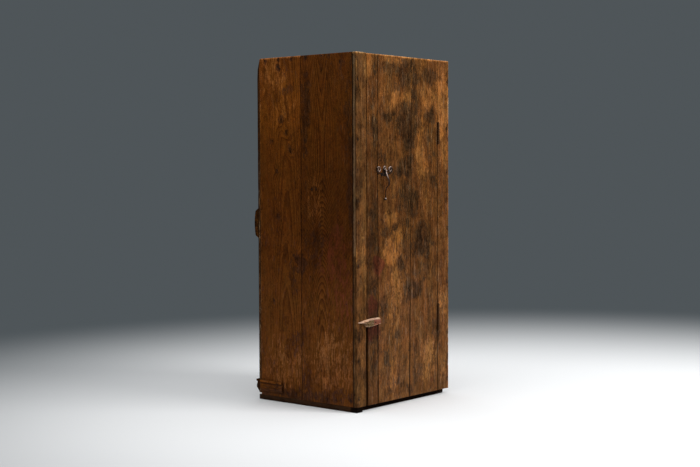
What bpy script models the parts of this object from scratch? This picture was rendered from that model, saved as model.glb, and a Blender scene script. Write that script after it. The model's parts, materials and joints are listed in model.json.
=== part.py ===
"""Folk art cabinet: a tall plank cupboard with one door as high as the cupboard itself.

Sizes are in metres. The front faces -Y, +Z is up, and -X is on the left of someone who looks at the front.
The origin lies on the floor, under the middle of the carcass.
"""

import math

import bmesh
import bpy
from mathutils import Matrix, Vector

# The whole cupboard
HEIGHT = 1.600
WIDTH = 0.695
SIDE_DEPTH = 0.561

# Thickness of the boards
SIDE_THICKNESS = 0.020
FRONT_THICKNESS = 0.022
BACK_THICKNESS = 0.015
TOP_THICKNESS = 0.020
BOTTOM_THICKNESS = 0.022
SHELF_THICKNESS = 0.018

# Gaps and worn edges
SEAT = 0.0003
JOINT_GAP = 0.0008
EDGE = 0.0015
OVERRUN = 0.004
WELD = 0.00001
WORN_ANGLE = math.radians(40)
SMOOTH_ANGLE = math.radians(35)

# Where one panel changes from board to board, as shares of the panel
SIDE_JOINT_SHARE = 0.543
TOP_JOINT_SHARE = 0.46
SHELF_JOINT_SHARE = 0.52
BACK_JOINT_SHARES = (0.0, 0.27, 0.52, 0.77, 1.0)

# Sides and back: rubbed rear corners, and the chipped corner of the first back board
CORNER_WEAR = 0.006
CHIP_HEIGHT = 0.060
CHIP_WIDTH = 0.016
BACK_LIFT = 0.031

# Base: runners under the sides and rails between them
RUNNER_HEIGHT = 0.023
RUNNER_WIDTH = 0.040
RIGHT_RUNNER_INSET = 0.015
RUNNER_WEAR_WIDTH = 0.013
RUNNER_WEAR_HEIGHT = 0.012
RAIL_HEIGHT = 0.033
RAIL_THICKNESS = 0.025

# Stiles
LEFT_STILE_WIDTH = 0.0705
LEFT_STILE_TAPER = 0.0045
RIGHT_STILE_WIDTH = 0.0875

# Shelves and the cleats that carry them
SHELF_SHARES = (0.27, 0.52, 0.76)
SHELF_SETBACK = 0.030
CLEAT_WIDTH = 0.022
CLEAT_HEIGHT = 0.034
CLEAT_SETBACK = 0.024

# Mouldings: a ledge across the back, and the base moulding at the back with its return on the left side
LEDGE_BOTTOM = 0.762
LEDGE_HEIGHT = 0.140
LEDGE_DEPTH = 0.018
LEDGE_SWELL = 0.006
LEDGE_FILLET_SHARE = 0.09
LEDGE_STEPS = 6
MOULDING_BOTTOM = 0.034
MOULDING_HEIGHT = 0.060
BACK_MOULDING_DEPTH = 0.020
SIDE_MOULDING_DEPTH = 0.013
SIDE_MOULDING_LENGTH = 0.139
LIP_SHARE = 0.18
NECK_SHARE = 0.62
BELLY_SHARE = 0.88
MOULDING_STEPS = 8

# Door
DOOR_TOP_GAP = 0.002
FREE_GAP = 0.004
HINGE_GAP = 0.002
DOOR_WEAR = 0.007
DOOR_WEAR_TOP = 0.420
DOOR_WEAR_RUN = 0.050
FIRST_JOINT = 0.1535
SECOND_JOINT_TOP = 0.4065
SECOND_JOINT_BOTTOM = 0.3855
DOOR_LEDGE_SHARES = (0.135, 0.515, 0.815)
DOOR_LEDGE_HEIGHT = 0.090
DOOR_LEDGE_THICKNESS = 0.020
DOOR_LEDGE_INSET = 0.035
DOOR_LEDGE_CHAMFER = 0.008

# Butt hinges
UPPER_HINGE_Z = 1.251
UPPER_HINGE_HEIGHT = 0.100
LOWER_HINGE_Z = 0.376
LOWER_HINGE_HEIGHT = 0.124
KNUCKLE_RADIUS = 0.0055
KNUCKLE_COUNT = 5
KNUCKLE_SIDES = 14
KNUCKLE_GAP = 0.0004
PIN_RADIUS = 0.0022
PIN_CLEARANCE = 0.0003
PIN_HEAD_HEIGHT = 0.004
PIN_HEAD_RADIUS = 0.0045
LEAF_THICKNESS = 0.0020
LEAF_DEPTH = 0.017

# Scroll plate and drop handle, on the door
PLATE_X = 0.1985
PLATE_Z = 1.0765
PLATE_THICKNESS = 0.0025
BOSS_RADIUS = 0.0130
LOBE_SPACING = 0.038
LOBE_RADIUS = 0.0055
SCROLL_SPACING = 0.082
SCROLL_RISE = 0.0045
SCROLL_RADIUS = 0.0165
SCROLL_INNER_RADIUS = 0.0045
SCROLL_TURNS_SHARE = 1.4
SCROLL_POINTS = 22
ROD_RADIUS = 0.0026
RING_RADIUS = 0.0070
RING_ROD_RADIUS = 0.0022
RING_RISE = 0.0125
EAR_THICKNESS = 0.0030
EAR_RADIUS = 0.0050
PIVOT_REACH = 0.0100
HANDLE_PIN_RADIUS = 0.0016
HANDLE_WIDTH = 0.0080
HANDLE_KNUCKLE_RADIUS = 0.0046
HANDLE_REACH = 0.0200
HANDLE_LENGTH = 0.1280
LEAF_HALF_WIDTH = 0.0060
LEAF_HALF_THICKNESS = 0.0019
BALL_RADIUS = 0.0065
BALL_CLEARANCE = 0.0005
ROUND_SIDES = 16
LOFT_SIDES = 10

# Turn button
BUTTON_X = 0.112
BUTTON_Z = 0.398
BUTTON_LENGTH = 0.145
BUTTON_HEIGHT = 0.036
BUTTON_THICKNESS = 0.018
BUTTON_CHAMFER = 0.0075
BUTTON_PIVOT_SHARE = 0.735
BUTTON_CLEARANCE = 0.0005

# Forged nails that hold the ironwork and the button
NAIL_RADIUS = 0.0018
NAIL_HEAD_RADIUS = 0.0038
NAIL_HEAD_RISE = 0.0018
NAIL_DEPTH = 0.015
NAIL_SIDES = 8

# Planes that the pieces share
LEFT = -WIDTH / 2
RIGHT = WIDTH / 2
FRONT = -(FRONT_THICKNESS + SIDE_DEPTH + BACK_THICKNESS) / 2 - SEAT
STILE_BACK = FRONT + FRONT_THICKNESS
SIDE_FRONT = STILE_BACK + SEAT
SIDE_REAR = SIDE_FRONT + SIDE_DEPTH
BACK_FRONT = SIDE_REAR + SEAT
REAR = BACK_FRONT + BACK_THICKNESS
INNER_LEFT = LEFT + SIDE_THICKNESS
INNER_RIGHT = RIGHT - SIDE_THICKNESS
PANEL_BOTTOM = RUNNER_HEIGHT + SEAT
FLOOR_BOTTOM = RAIL_HEIGHT + SEAT
FLOOR_TOP = FLOOR_BOTTOM + BOTTOM_THICKNESS
CEILING = HEIGHT - TOP_THICKNESS
DOOR_TOP = HEIGHT - DOOR_TOP_GAP
DOOR_LEFT = LEFT + LEFT_STILE_WIDTH + FREE_GAP
HINGE_X = RIGHT - RIGHT_STILE_WIDTH - HINGE_GAP / 2
HINGE_Y = FRONT - KNUCKLE_RADIUS - SEAT
DOOR_RIGHT = HINGE_X - HINGE_GAP / 2
HANDLE_PIVOT = Vector((LEFT + PLATE_X, FRONT - PIVOT_REACH, PLATE_Z))
BUTTON_PIVOT = Vector((LEFT + BUTTON_X, FRONT - BUTTON_CLEARANCE, BUTTON_Z))
SCROLL_Z = PLATE_Z + SCROLL_RISE
LOBE_Z = SCROLL_Z - SCROLL_RADIUS - ROD_RADIUS - NAIL_HEAD_RADIUS - SEAT

# Colours, roughness and metallic value of the materials
FINISHES = {
    "side_wood": ((0.20, 0.095, 0.040), 0.55, 0.0),
    "front_wood": ((0.30, 0.175, 0.080), 0.60, 0.0),
    "stile_wood": ((0.27, 0.190, 0.110), 0.60, 0.0),
    "inner_wood": ((0.36, 0.250, 0.150), 0.75, 0.0),
    "base_wood": ((0.13, 0.075, 0.040), 0.70, 0.0),
    "button_wood": ((0.45, 0.310, 0.230), 0.60, 0.0),
    "iron": ((0.075, 0.055, 0.045), 0.45, 0.8),
}


def clear_scene():
    for obj in list(bpy.data.objects):
        bpy.data.objects.remove(obj, do_unlink=True)


def collection(name):
    group = bpy.data.collections.new(name)
    bpy.context.scene.collection.children.link(group)
    return group


def make_finishes():
    for name, (colour, roughness, metallic) in FINISHES.items():
        finish = bpy.data.materials.new(name)
        finish.use_nodes = True
        shader = finish.node_tree.nodes["Principled BSDF"]
        shader.inputs["Base Color"].default_value = (*colour, 1.0)
        shader.inputs["Roughness"].default_value = roughness
        shader.inputs["Metallic"].default_value = metallic


def link_part(name, mesh, finish, place=None, axis=None):
    """Puts a mesh at place, a matrix in the cabinet's frame, and under its joint's empty if it moves."""
    part = bpy.data.objects.new(name, mesh)
    mesh.materials.append(bpy.data.materials[finish])
    bpy.data.collections["folk_art_cabinet"].objects.link(part)
    place = place or Matrix()
    if axis:
        part.parent = axis
        place = Matrix.Translation(-axis.location) @ place
    part.matrix_basis = place
    return part


def link_cutter(name, mesh):
    cutter = bpy.data.objects.new(name, mesh)
    bpy.data.collections["cutters"].objects.link(cutter)
    cutter.hide_render = True
    cutter.display_type = "WIRE"
    return cutter


def joint_axis(name, place):
    """An empty on a joint's axis, which carries the pieces that move there."""
    axis = bpy.data.objects.new(name, None)
    axis.location = place
    bpy.data.collections["folk_art_cabinet"].objects.link(axis)
    return axis


def boolean(part, cutter, operation):
    cut = part.modifiers.new(cutter.name, "BOOLEAN")
    cut.operation = operation
    cut.object = cutter


def round_edges(part, width=EDGE, segments=1):
    bevel = part.modifiers.new("worn edges", "BEVEL")
    bevel.width = width
    bevel.segments = segments
    bevel.limit_method = "ANGLE"
    bevel.angle_limit = WORN_ANGLE


def mesh_from(shape, name):
    bmesh.ops.recalc_face_normals(shape, faces=shape.faces)
    mesh = bpy.data.meshes.new(name)
    shape.to_mesh(mesh)
    shape.free()
    return mesh


def add_box(shape, low, high):
    low, high = Vector(low), Vector(high)
    place = Matrix.Translation((low + high) / 2) @ Matrix.Diagonal((*(high - low), 1.0))
    bmesh.ops.create_cube(shape, size=1.0, matrix=place)


def add_cylinder(shape, start, end, radius, end_radius=None, sides=ROUND_SIDES):
    start, end = Vector(start), Vector(end)
    turn = (end - start).to_track_quat("Z", "X").to_matrix().to_4x4()
    bmesh.ops.create_cone(
        shape,
        cap_ends=True,
        segments=sides,
        radius1=radius,
        radius2=radius if end_radius is None else end_radius,
        depth=(end - start).length,
        matrix=Matrix.Translation((start + end) / 2) @ turn,
    )


def board(name, low, high, finish, axis=None):
    """A straight board from one corner of its box to the other, with its origin at its centre."""
    low, high = Vector(low), Vector(high)
    shape = bmesh.new()
    add_box(shape, (low - high) / 2, (high - low) / 2)
    part = link_part(name, mesh_from(shape, name), finish, Matrix.Translation((low + high) / 2), axis)
    round_edges(part)
    return part


# How an outline's plane lies in the cabinet: drawn as seen from the front or from the side
PLANES = {
    "front": Matrix(((1, 0, 0, 0), (0, 0, -1, 0), (0, 1, 0, 0), (0, 0, 0, 1))),
    "side": Matrix(((0, 0, 1, 0), (1, 0, 0, 0), (0, 1, 0, 0), (0, 0, 0, 1))),
}


def outline_mesh(name, outline, thickness):
    """A flat outline as thick as it says, made from a filled 2D curve and welded into one mesh."""
    curve = bpy.data.curves.new(name, "CURVE")
    curve.dimensions = "2D"
    curve.fill_mode = "BOTH"
    curve.extrude = thickness / 2
    spline = curve.splines.new("POLY")
    spline.points.add(len(outline) - 1)
    for point, (across, up) in zip(spline.points, outline):
        point.co = (across, up, 0.0, 1.0)
    spline.use_cyclic_u = True
    return welded_mesh(name, curve)


def welded_mesh(name, curve):
    """The mesh of a curve, with its caps joined to its sides."""
    guide = bpy.data.objects.new(name, curve)
    bpy.context.scene.collection.objects.link(guide)
    graph = bpy.context.evaluated_depsgraph_get()
    mesh = bpy.data.meshes.new_from_object(guide.evaluated_get(graph))
    bpy.data.objects.remove(guide, do_unlink=True)
    shape = bmesh.new()
    shape.from_mesh(mesh)
    bmesh.ops.remove_doubles(shape, verts=shape.verts, dist=WELD)
    bpy.data.meshes.remove(mesh)
    return mesh_from(shape, name)


def cut_board(name, outline, thickness, plane, low, finish, axis=None):
    """A board with a cut outline in one plane, whose thickness starts at low across that plane."""
    middle = low + thickness / 2
    across = Vector((0, middle, 0)) if plane == "front" else Vector((middle, 0, 0))
    mesh = outline_mesh(name, outline, thickness)
    part = link_part(name, mesh, finish, Matrix.Translation(across) @ PLANES[plane], axis)
    round_edges(part)
    return part


def share_of(low, high, share):
    return low + (high - low) * share


def build_sides():
    joint = share_of(SIDE_FRONT, SIDE_REAR, SIDE_JOINT_SHARE)
    for side, low in (("left", LEFT), ("right", INNER_RIGHT)):
        board(
            f"{side}_side_front_board",
            (low, SIDE_FRONT, PANEL_BOTTOM),
            (low + SIDE_THICKNESS, joint - JOINT_GAP / 2, HEIGHT),
            "side_wood",
        )
        outline = (
            (joint + JOINT_GAP / 2, PANEL_BOTTOM),
            (SIDE_REAR, PANEL_BOTTOM),
            (SIDE_REAR, HEIGHT - CORNER_WEAR),
            (SIDE_REAR - CORNER_WEAR, HEIGHT),
            (joint + JOINT_GAP / 2, HEIGHT),
        )
        cut_board(f"{side}_side_rear_board", outline, SIDE_THICKNESS, "side", low, "side_wood")


def build_panel(prefix, low_z, thickness, front, joint_share, finish):
    """Two boards side by side between the cupboard's sides, as the top, the bottom and each shelf have."""
    joint = share_of(front, SIDE_REAR, joint_share)
    spans = {"front": (front, joint - JOINT_GAP / 2), "rear": (joint + JOINT_GAP / 2, SIDE_REAR)}
    for place, (low_y, high_y) in spans.items():
        board(
            f"{prefix}_{place}_board",
            (INNER_LEFT + SEAT, low_y, low_z),
            (INNER_RIGHT - SEAT, high_y, low_z + thickness),
            finish,
        )


def build_base():
    board(
        "left_runner",
        (LEFT, FRONT, 0),
        (LEFT + RUNNER_WIDTH, REAR, RUNNER_HEIGHT),
        "base_wood",
    )
    outer = RIGHT - RIGHT_RUNNER_INSET
    section = (
        (outer - RUNNER_WIDTH, 0),
        (outer - RUNNER_WEAR_WIDTH, 0),
        (outer, RUNNER_WEAR_HEIGHT),
        (outer, RUNNER_HEIGHT),
        (outer - RUNNER_WIDTH, RUNNER_HEIGHT),
    )
    cut_board("right_runner", section, SIDE_REAR - SIDE_FRONT, "front", SIDE_FRONT, "base_wood")
    for name, low_y in (("front_rail", SIDE_FRONT), ("back_rail", SIDE_REAR - RAIL_THICKNESS)):
        board(
            name,
            (LEFT + RUNNER_WIDTH + SEAT, low_y, 0),
            (outer - RUNNER_WIDTH - SEAT, low_y + RAIL_THICKNESS, RAIL_HEIGHT),
            "base_wood",
        )


def shelf_heights():
    """The lowest point of each shelf."""
    return [share_of(FLOOR_TOP, CEILING, share) for share in SHELF_SHARES]


def build_shelves():
    front = SIDE_FRONT + SHELF_SETBACK
    for level, low_z in zip(("lower", "middle", "upper"), shelf_heights()):
        build_panel(f"{level}_shelf", low_z, SHELF_THICKNESS, front, SHELF_JOINT_SHARE, "inner_wood")
        cleat_front = SIDE_FRONT + CLEAT_SETBACK
        cleat_top = low_z - SEAT
        outline = (
            (cleat_front + CLEAT_HEIGHT / 2, cleat_top - CLEAT_HEIGHT),
            (SIDE_REAR, cleat_top - CLEAT_HEIGHT),
            (SIDE_REAR, cleat_top),
            (cleat_front, cleat_top),
            (cleat_front, cleat_top - CLEAT_HEIGHT / 2),
        )
        lows = {"left": INNER_LEFT + SEAT, "right": INNER_RIGHT - SEAT - CLEAT_WIDTH}
        for side, low_x in lows.items():
            cut_board(f"{side}_{level}_cleat", outline, CLEAT_WIDTH, "side", low_x, "inner_wood")


def build_back():
    edges = [share_of(LEFT, RIGHT, share) for share in BACK_JOINT_SHARES]
    for number, (low_x, high_x) in enumerate(zip(edges, edges[1:]), start=1):
        low_x = low_x + JOINT_GAP / 2 if number > 1 else low_x
        high_x = high_x - JOINT_GAP / 2 if high_x < RIGHT else high_x
        chipped = number == 1
        corner = (
            ((low_x, HEIGHT - CHIP_HEIGHT), (low_x + CHIP_WIDTH, HEIGHT)) if chipped else ((low_x, HEIGHT),)
        )
        outline = ((low_x, BACK_LIFT), (high_x, BACK_LIFT), (high_x, HEIGHT), *reversed(corner))
        cut_board(f"back_board_{number}", outline, BACK_THICKNESS, "front", BACK_FRONT, "side_wood")


def ledge_outline():
    """Section of the ledge: filleted at both edges, with a low swell between them."""
    low = REAR + SEAT
    fillet = LEDGE_HEIGHT * LEDGE_FILLET_SHARE
    outline = [(low, LEDGE_BOTTOM)]
    for step in range(LEDGE_STEPS + 1):
        share = step / LEDGE_STEPS
        up = share_of(LEDGE_BOTTOM + fillet, LEDGE_BOTTOM + LEDGE_HEIGHT - fillet, share)
        outline.append((low + LEDGE_DEPTH + LEDGE_SWELL * math.sin(math.pi * share), up))
    outline.append((low, LEDGE_BOTTOM + LEDGE_HEIGHT))
    return outline


def moulding_outline(face, depth, outward):
    """Section of the base moulding: a square lip over a hollow neck and a round belly."""
    lip_bottom = MOULDING_BOTTOM + MOULDING_HEIGHT * (1 - LIP_SHARE)
    top = MOULDING_BOTTOM + MOULDING_HEIGHT
    outline = [(face, top), (face + outward * depth, top), (face + outward * depth, lip_bottom)]
    for step in range(MOULDING_STEPS + 1):
        share = step / MOULDING_STEPS
        swell = math.sin(math.pi * share) ** 2
        reach = share_of(NECK_SHARE, 0.0, share) + (BELLY_SHARE - NECK_SHARE / 2) * swell
        outline.append((face + outward * depth * reach, share_of(lip_bottom, MOULDING_BOTTOM, share)))
    return outline


def build_mouldings():
    cut_across("back_ledge", ledge_outline(), LEFT, RIGHT, "side_wood")
    back_face = REAR + SEAT
    cut_across("back_moulding", moulding_outline(back_face, BACK_MOULDING_DEPTH, 1), LEFT, RIGHT, "side_wood")
    outline = moulding_outline(LEFT - SEAT, SIDE_MOULDING_DEPTH, -1)
    cut_board(
        "side_moulding",
        outline,
        SIDE_MOULDING_LENGTH,
        "front",
        SIDE_REAR - SIDE_MOULDING_LENGTH,
        "side_wood",
    )


def cut_across(name, outline, low_x, high_x, finish):
    """A moulding that runs from side to side, from its section seen from the side."""
    part = cut_board(name, outline, high_x - low_x, "side", low_x, finish)
    part.modifiers["worn edges"].width = EDGE / 2
    return part


def build_stiles():
    left = (
        (LEFT, PANEL_BOTTOM),
        (LEFT + LEFT_STILE_WIDTH - LEFT_STILE_TAPER, PANEL_BOTTOM),
        (LEFT + LEFT_STILE_WIDTH - LEFT_STILE_TAPER, DOOR_WEAR_TOP - DOOR_WEAR_RUN),
        (LEFT + LEFT_STILE_WIDTH, DOOR_WEAR_TOP),
        (LEFT + LEFT_STILE_WIDTH, HEIGHT),
        (LEFT, HEIGHT),
    )
    cut_board("left_stile", left, FRONT_THICKNESS, "front", FRONT, "stile_wood")
    right = board(
        "right_stile",
        (RIGHT - RIGHT_STILE_WIDTH, FRONT, PANEL_BOTTOM),
        (RIGHT, STILE_BACK, DOOR_TOP),
        "front_wood",
    )
    boolean(right, mortises("stile_mortises", 1), "DIFFERENCE")


def mortises(name, outward):
    """Shallow beds for the leaves of both hinges, in the edge of the stile (1) or of the door (-1)."""
    shape = bmesh.new()
    for centre, height in hinge_places():
        bed = HINGE_X + outward * (SEAT / 2 + LEAF_THICKNESS + SEAT)
        low_x, high_x = sorted((HINGE_X, bed))
        add_box(
            shape,
            (low_x, FRONT - OVERRUN, centre - height / 2 - SEAT),
            (high_x, FRONT + LEAF_DEPTH + SEAT, centre + height / 2 + SEAT),
        )
    return link_cutter(name, mesh_from(shape, name))


def hinge_places():
    return ((UPPER_HINGE_Z, UPPER_HINGE_HEIGHT), (LOWER_HINGE_Z, LOWER_HINGE_HEIGHT))


def build_door(axis):
    first = LEFT + FIRST_JOINT
    second_top = LEFT + SECOND_JOINT_TOP
    second_bottom = LEFT + SECOND_JOINT_BOTTOM
    gap = JOINT_GAP / 2
    outlines = (
        (
            (DOOR_LEFT + DOOR_WEAR, PANEL_BOTTOM),
            (first - gap, PANEL_BOTTOM),
            (first - gap, DOOR_TOP),
            (DOOR_LEFT, DOOR_TOP),
            (DOOR_LEFT, DOOR_WEAR_TOP),
            (DOOR_LEFT + DOOR_WEAR, DOOR_WEAR_TOP - DOOR_WEAR_RUN),
        ),
        (
            (first + gap, PANEL_BOTTOM),
            (second_bottom - gap, PANEL_BOTTOM),
            (second_top - gap, DOOR_TOP),
            (first + gap, DOOR_TOP),
        ),
        (
            (second_bottom + gap, PANEL_BOTTOM),
            (DOOR_RIGHT, PANEL_BOTTOM),
            (DOOR_RIGHT, DOOR_TOP),
            (second_top + gap, DOOR_TOP),
        ),
    )
    for number, outline in enumerate(outlines, start=1):
        panel = cut_board(
            f"door_board_{number}", outline, FRONT_THICKNESS, "front", FRONT, "front_wood", axis
        )
    boolean(panel, mortises("door_mortises", -1), "DIFFERENCE")
    build_door_ledges(axis)


def build_door_ledges(axis):
    """Battens nailed across the inside of the door, with their inner edges chamfered."""
    low_y = STILE_BACK + SEAT
    high_y = low_y + DOOR_LEDGE_THICKNESS
    low_x = DOOR_LEFT + DOOR_WEAR + DOOR_LEDGE_INSET
    high_x = DOOR_RIGHT - DOOR_LEDGE_INSET
    for level, share in zip(("lower", "middle", "upper"), DOOR_LEDGE_SHARES):
        middle = share_of(PANEL_BOTTOM, DOOR_TOP, share)
        low_z, high_z = middle - DOOR_LEDGE_HEIGHT / 2, middle + DOOR_LEDGE_HEIGHT / 2
        section = (
            (low_y, low_z),
            (high_y - DOOR_LEDGE_CHAMFER, low_z),
            (high_y, low_z + DOOR_LEDGE_CHAMFER),
            (high_y, high_z - DOOR_LEDGE_CHAMFER),
            (high_y - DOOR_LEDGE_CHAMFER, high_z),
            (low_y, high_z),
        )
        name = f"door_{level}_ledge"
        cut_board(name, section, high_x - low_x, "side", low_x, "inner_wood", axis)


def build_hinge(prefix, centre, height, axis):
    """A butt hinge: two leaves let into the edges, interleaved knuckles in front of the face, and a pin."""
    length = (height - KNUCKLE_GAP * (KNUCKLE_COUNT - 1)) / KNUCKLE_COUNT
    bottom = centre - height / 2
    for name, outward, first, owner in (("stile_leaf", 1, 0, None), ("door_leaf", -1, 1, axis)):
        inner = HINGE_X + outward * SEAT / 2
        low_x, high_x = sorted((inner, inner + outward * LEAF_THICKNESS))
        plate, knuckles, tabs, bore = bmesh.new(), bmesh.new(), bmesh.new(), bmesh.new()
        add_box(plate, (low_x, FRONT, bottom), (high_x, FRONT + LEAF_DEPTH, centre + height / 2))
        for number in range(first, KNUCKLE_COUNT, 2):
            low_z = bottom + number * (length + KNUCKLE_GAP)
            start, end = (HINGE_X, HINGE_Y, low_z), (HINGE_X, HINGE_Y, low_z + length)
            add_cylinder(knuckles, start, end, KNUCKLE_RADIUS, sides=KNUCKLE_SIDES)
            add_box(tabs, (low_x, HINGE_Y, low_z), (high_x, FRONT + LEAF_THICKNESS, low_z + length))
        bore_radius = PIN_RADIUS + PIN_CLEARANCE
        start = (HINGE_X, HINGE_Y, bottom - OVERRUN)
        end = (HINGE_X, HINGE_Y, bottom + height + OVERRUN)
        add_cylinder(bore, start, end, bore_radius, sides=KNUCKLE_SIDES)
        leaf_name = f"{prefix}_hinge_{name}"
        leaf = link_part(leaf_name, mesh_from(plate, leaf_name), "iron", None, owner)
        parts = (("knuckles", knuckles, "UNION"), ("tabs", tabs, "UNION"), ("bore", bore, "DIFFERENCE"))
        for suffix, shape, operation in parts:
            cutter_name = f"{leaf_name}_{suffix}"
            boolean(leaf, link_cutter(cutter_name, mesh_from(shape, cutter_name)), operation)
    pin = bmesh.new()
    add_cylinder(
        pin,
        (HINGE_X, HINGE_Y, bottom),
        (HINGE_X, HINGE_Y, bottom + height + SEAT),
        PIN_RADIUS,
        sides=KNUCKLE_SIDES,
    )
    head = bmesh.new()
    head_low = (HINGE_X, HINGE_Y, bottom + height + SEAT)
    head_high = (HINGE_X, HINGE_Y, bottom + height + SEAT + PIN_HEAD_HEIGHT)
    add_cylinder(head, head_low, head_high, PIN_HEAD_RADIUS, PIN_RADIUS, KNUCKLE_SIDES)
    pin_name = f"{prefix}_hinge_pin"
    pin = link_part(pin_name, mesh_from(pin, pin_name), "iron")
    boolean(pin, link_cutter(f"{pin_name}_head", mesh_from(head, f"{pin_name}_head")), "UNION")


def spiral(centre_x, hand):
    """Points of one scroll from its root, straight below its centre, inwards; hand is 1 to the right."""
    points = []
    for number in range(SCROLL_POINTS):
        share = number / (SCROLL_POINTS - 1)
        angle = hand * math.tau * SCROLL_TURNS_SHARE * share - math.pi / 2
        radius = share_of(SCROLL_RADIUS, SCROLL_INNER_RADIUS, share)
        points.append((centre_x + radius * math.cos(angle), SCROLL_Z + radius * math.sin(angle)))
    return points


def build_scroll_plate(axis):
    """A forged plate: one rod with a scroll at each end, on a nailed boss that carries the handle's ears."""
    centre = HANDLE_PIVOT
    back = FRONT - SEAT
    left = spiral(centre.x - SCROLL_SPACING / 2, -1)
    right = spiral(centre.x + SCROLL_SPACING / 2, 1)
    rod = bpy.data.curves.new("scroll_rod", "CURVE")
    rod.dimensions = "3D"
    rod.bevel_depth = ROD_RADIUS
    rod.bevel_resolution = 2
    rod.use_fill_caps = True
    spline = rod.splines.new("POLY")
    route = [*reversed(left), *right]
    spline.points.add(len(route) - 1)
    for point, (across, up) in zip(spline.points, route):
        point.co = (across, back - SEAT - ROD_RADIUS, up, 1.0)
    plate = link_part("scroll_plate", welded_mesh("scroll_plate", rod), "iron", None, axis)

    boss, lobes, ears, bore = bmesh.new(), bmesh.new(), bmesh.new(), bmesh.new()
    front = back - PLATE_THICKNESS
    add_cylinder(boss, (centre.x, back, centre.z), (centre.x, front, centre.z), BOSS_RADIUS)
    half = LOBE_SPACING / 2
    add_box(
        lobes,
        (centre.x - half, front, LOBE_Z - LOBE_RADIUS),
        (centre.x + half, back, LOBE_Z + LOBE_RADIUS),
    )
    for side in (-1, 1):
        inner = centre.x + side * (HANDLE_WIDTH / 2 + SEAT)
        outer = inner + side * EAR_THICKNESS
        low_x, high_x = sorted((inner, outer))
        add_box(ears, (low_x, centre.y, centre.z - EAR_RADIUS), (high_x, front + SEAT, centre.z + EAR_RADIUS))
    reach = HANDLE_WIDTH / 2 + EAR_THICKNESS + OVERRUN
    add_cylinder(
        bore,
        (centre.x - reach, centre.y, centre.z),
        (centre.x + reach, centre.y, centre.z),
        HANDLE_PIN_RADIUS + PIN_CLEARANCE,
    )
    steps = [("boss", boss, "UNION"), ("lobes", lobes, "UNION")]
    for side, name in ((-1, "left"), (1, "right")):
        tip = bmesh.new()
        tip_x = centre.x + side * half
        add_cylinder(tip, (tip_x, back, LOBE_Z), (tip_x, front, LOBE_Z), LOBE_RADIUS)
        steps.append((f"{name}_lobe", tip, "UNION"))
        round_end = bmesh.new()
        inner = centre.x + side * (HANDLE_WIDTH / 2 + SEAT)
        start = (inner, centre.y, centre.z)
        end = (inner + side * EAR_THICKNESS, centre.y, centre.z)
        add_cylinder(round_end, start, end, EAR_RADIUS)
        steps.append((f"{name}_ear_round", round_end, "UNION"))
    steps.append(("ears", ears, "UNION"))
    ring_y = back - SEAT - RING_ROD_RADIUS
    steps.append(("eye", ring_shape(centre.x, ring_y, centre.z + RING_RISE), "UNION"))
    steps.append(("bore", bore, "DIFFERENCE"))
    for suffix, shape, operation in steps:
        name = f"scroll_plate_{suffix}"
        boolean(plate, link_cutter(name, mesh_from(shape, name)), operation)


def ring_shape(centre_x, centre_y, centre_z):
    """The round eye over the boss, turned from a small circle."""
    shape = bmesh.new()
    bmesh.ops.create_circle(
        shape,
        segments=LOFT_SIDES,
        radius=RING_ROD_RADIUS,
        matrix=Matrix.Translation((centre_x + RING_RADIUS, centre_y, centre_z)),
    )
    bmesh.ops.spin(
        shape,
        geom=shape.verts[:] + shape.edges[:],
        cent=(centre_x, centre_y, centre_z),
        axis=(0, 1, 0),
        angle=math.tau,
        steps=ROUND_SIDES,
        use_merge=True,
    )
    bmesh.ops.remove_doubles(shape, verts=shape.verts, dist=WELD)
    return shape


# The drop handle's centre line, as shares of its reach in front of the pivot and of its length below it,
# and its half width and half thickness there, as shares of the leaf's
HANDLE_SHARES = (
    (0.00, 0.000, 0.60, 1.50),
    (0.14, 0.080, 0.62, 1.25),
    (0.40, 0.170, 0.74, 1.05),
    (0.72, 0.270, 0.92, 1.00),
    (0.94, 0.360, 1.00, 1.00),
    (1.00, 0.430, 0.90, 1.05),
    (0.84, 0.500, 0.68, 1.20),
    (0.44, 0.560, 0.52, 1.35),
    (0.10, 0.620, 0.44, 1.37),
    (-0.02, 0.700, 0.40, 1.30),
    (-0.06, 0.860, 0.38, 1.20),
    (-0.12, 1.000, 0.46, 1.40),
)


def handle_sections():
    """Rings of points along the handle, each square to the centre line."""
    line = [
        Vector((0, -reach * HANDLE_REACH, -drop * HANDLE_LENGTH)) for reach, drop, _, _ in HANDLE_SHARES
    ]
    rings = []
    for number, point in enumerate(line):
        before = line[max(number - 1, 0)]
        after = line[min(number + 1, len(line) - 1)]
        along = (after - before).normalized()
        across = Vector((1, 0, 0))
        outward = along.cross(across)
        half_width = HANDLE_SHARES[number][2] * LEAF_HALF_WIDTH
        half_thickness = HANDLE_SHARES[number][3] * LEAF_HALF_THICKNESS
        ring = []
        for side in range(LOFT_SIDES):
            angle = math.tau * side / LOFT_SIDES
            ring.append(
                point + across * half_width * math.cos(angle) + outward * half_thickness * math.sin(angle)
            )
        rings.append(ring)
    return rings


def loft_mesh(name, rings):
    shape = bmesh.new()
    layers = [[shape.verts.new(point) for point in ring] for ring in rings]
    count = len(rings[0])
    for lower, upper in zip(layers, layers[1:]):
        for side in range(count):
            following = (side + 1) % count
            shape.faces.new((lower[side], lower[following], upper[following], upper[side]))
    shape.faces.new(layers[0])
    shape.faces.new(reversed(layers[-1]))
    return mesh_from(shape, name)


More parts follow.
